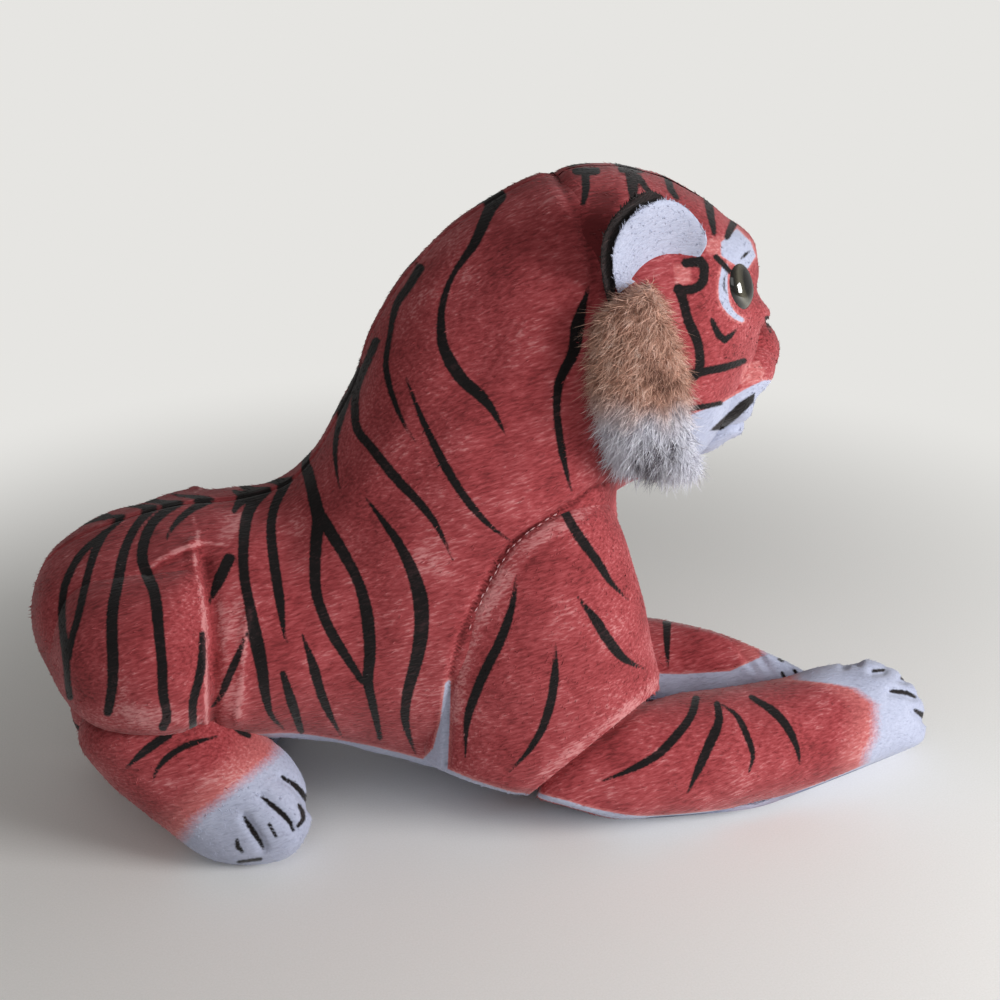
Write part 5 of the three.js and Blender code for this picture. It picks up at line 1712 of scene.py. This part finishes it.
def ear_part(side, front, back, grow, grow_face):
    """Rings up a cupped ear: each goes across its front and returns across its back, which meet at the rim.
    The outline's half width is the root of 1 - rise to a power; on the side of the face it starts narrow,
    so that a round lobe stands free. The cup is a parabola both ways."""
    rise = np.linspace(0.0, 1.0, ear_rows) ** ear_row_power
    half = np.sqrt(np.clip(1 - rise**ear_roundness, 0.0, 1))
    swell = np.sin(np.clip(rise / lobe_rise, 0, 1) * math.pi / 2) ** lobe_power
    lobe = lobe_root_share + (1 - lobe_root_share) * swell
    across = np.sin(np.linspace(-math.pi / 2, math.pi / 2, ear_columns))
    width = np.where(across > 0, (ear_width / 2 + grow_face) * lobe[:, None], ear_width / 2 + grow)
    x = half[:, None] * across * width
    drop = lobe_drop * np.maximum(across, 0) ** 2 * (1 - rise[:, None])
    z = (rise * (ear_height + 2 * grow) - grow)[:, None] - drop
    cup = np.maximum(0, 1 - (2 * x / ear_width) ** 2)
    cup = cup * np.maximum(0, 1 - (np.maximum(z, 0) / ear_height) ** 2)
    plump = np.sqrt(1 - across**2) * np.sqrt(np.clip(1 - rise**ear_rim_power, 0, 1))[:, None]
    middle = (front + back) / 2 - ear_cup * cup
    depths = [middle + sign * (front - back) / 2 * plump for sign in (1, -1)]
    faces = [np.stack([x, side * depth, z], axis=-1) for depth in depths]
    ring = np.concatenate([faces[0], faces[1][:, -2:0:-1]], axis=1)
    ring = turned(ring, (1, 0, 0), -side * ear_lean[side])
    ring = turned(ring, (0, 1, 0), -ear_rise)
    ring = turned(ring, (0, 0, 1), -side * ear_turn)
    return ring + head_place(*ear_place_shares, side * ear_side_share * head_size[2])


def make_ear(side, name):
    """White lining in a black back."""
    behind = -ear_gap
    for part, front, back, grow, grow_face, material, slot in (
        ("lining", ear_layer, 0.0, -lining_inset, lining_face_grow, red_velboa, "white_velboa"),
        ("back", behind, behind - ear_layer, ear_rim - rim_inset, -back_face_inset, dark_velboa,
         "black_velboa"),
    ):
        grid = ear_part(side, front, back, grow, grow_face)
        values = blank_values(grid)
        if part == "lining":
            values["pale"] = np.full(grid.shape[:2], all_white)
            values["shade"] = values["shade"] + lining_shade
        up = grid[-1].mean(axis=0) - grid[0].mean(axis=0)
        stuffed(f"ear_{part}_{name}_skin", grid, values, up, [f"ear_{part}_{name}"], slot,
                material=material, kind=ear_pile, seed=111 + side, body=f"ear_{name}",
                fill=ear_stuffing_share)


def make_eye(side, name):
    """A dome about the CAD eye's own axis: its profile is a quarter ellipse over a thin round rim."""
    node_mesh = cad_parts[f"eye_{name}"].data
    corners = np.zeros(len(node_mesh.vertices) * 3, np.float32)
    node_mesh.vertices.foreach_get("co", corners)
    corners = np.unique(np.round(corners.reshape(-1, 3) / MM, 3), axis=0) - toy_shift
    centre = corners.mean(axis=0)
    spread, ways = np.linalg.eigh(np.cov((corners - centre).T))
    axis = ways[:, np.argmax(np.abs(spread - np.median(spread)))]
    axis = axis if axis[1] * side > 0 else -axis
    axis = turned(axis, (0, 0, 1), -side * eye_turn)
    centre = centre + eye_shift
    height = (corners - centre) @ axis
    radius = np.linalg.norm(corners - centre - height[:, None] * axis, axis=1)
    level = height[radius > eye_rim_share * radius.max()].min() - eye_sink
    dome, reach = (height.max() - level) * eye_dome_share, radius.max() * eye_reach_share
    one = np.cross(axis, [0, 0, 1.0])
    one /= np.linalg.norm(one)
    two = np.cross(axis, one)
    angle = np.linspace(0, math.pi / 2, eye_rings)[:-1]
    profile = [(eye_pole, -eye_back), (reach * eye_foot_share, -eye_back), (reach, -eye_back / 2)]
    profile += [(reach * math.cos(a), dome * math.sin(a)) for a in angle]
    profile = np.array(profile + [(eye_pole, dome)])
    turn = np.arange(eye_columns) / eye_columns * 2 * math.pi
    ring = one * np.cos(turn)[:, None] + two * np.sin(turn)[:, None]
    heights, reaches = (level + profile[:, 1])[:, None, None], profile[:, 0][:, None, None]
    grid = centre + axis * heights + ring[None] * reaches
    values = {"ring": np.broadcast_to((profile[:, 0] / reach)[:, None], grid.shape[:2])}
    piece = make_piece(f"eye_{name}_dome", closed_part(grid, values), eye_resin)
    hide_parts(f"eye_{name}")
    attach(piece, "head")


# Floor, light and camera

def make_floor():
    """A large flat sheet at z = 0."""
    size = floor_size
    corners = np.array([[-size, -size, 0], [size, -size, 0], [size, size, 0], [-size, size, 0]], float)
    triangles = np.array([[0, 1, 2], [0, 2, 3]])
    part = {"points": corners, "triangles": triangles, "chart": np.zeros((2, 3, 2)), "values": {},
            "smooth": np.zeros(2, bool)}
    make_piece("floor", part, floor_paper())


def make_camera():
    """The photograph's view: its direction, distance and angle of view."""
    lens = bpy.data.cameras.new("photo_camera")
    lens.sensor_width = sensor_mm
    lens.lens = sensor_mm * focal_px / frame_px
    camera = bpy.data.objects.new("photo_camera", lens)
    camera.location = ((camera_place + toy_shift) * MM).tolist()
    camera.rotation_euler = Vector((-camera_back).tolist()).to_track_quat("-Z", "Y").to_euler()
    bpy.context.scene.collection.objects.link(camera)
    bpy.context.scene.camera = camera


def make_lamp(name, place, size, power):
    """A square soft lamp that looks at the toy."""
    data = bpy.data.lights.new(name, "AREA")
    data.size = size * MM
    data.energy = power
    lamp = bpy.data.objects.new(name, data)
    place = np.array(place, float)
    lamp.location = (place * MM).tolist()
    lamp.rotation_euler = Vector((camera_target - place).tolist()).to_track_quat("-Z", "Y").to_euler()
    bpy.context.scene.collection.objects.link(lamp)


def make_light():
    """Even pale surroundings, a soft lamp from the front right, and a weaker one from behind the camera."""
    world = bpy.data.worlds.new("studio")
    world.use_nodes = True
    tree = world.node_tree
    seen = node(tree, "ShaderNodeLightPath").outputs["Is Camera Ray"]
    strength = node(tree, "ShaderNodeMapRange", Value=seen, _3=fill_strength, _4=1.0).outputs[0]
    tree.links.new(strength, tree.nodes["Background"].inputs["Strength"])
    tree.nodes["Background"].inputs["Color"].default_value = srgb(backdrop_colour)
    bpy.context.scene.world = world
    make_lamp("front_lamp", front_lamp_place, front_lamp_size, front_lamp_power)
    make_lamp("side_lamp", side_lamp_place, side_lamp_size, side_lamp_power)


make_camera()
make_floor()
make_light()
make_body()
for side, name in sides:
    make_arm(side, name)
    make_hind_leg(side, name)
    make_cheek(side, name)
    make_ear(side, name)
    make_eye(side, name)
    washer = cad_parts[f"eye_washer_{name}"]
    washer.data.materials.clear()
    washer.data.materials.append(washer_plastic)
make_tail()
make_head()

bpy.context.scene.view_settings.view_transform = "Standard"
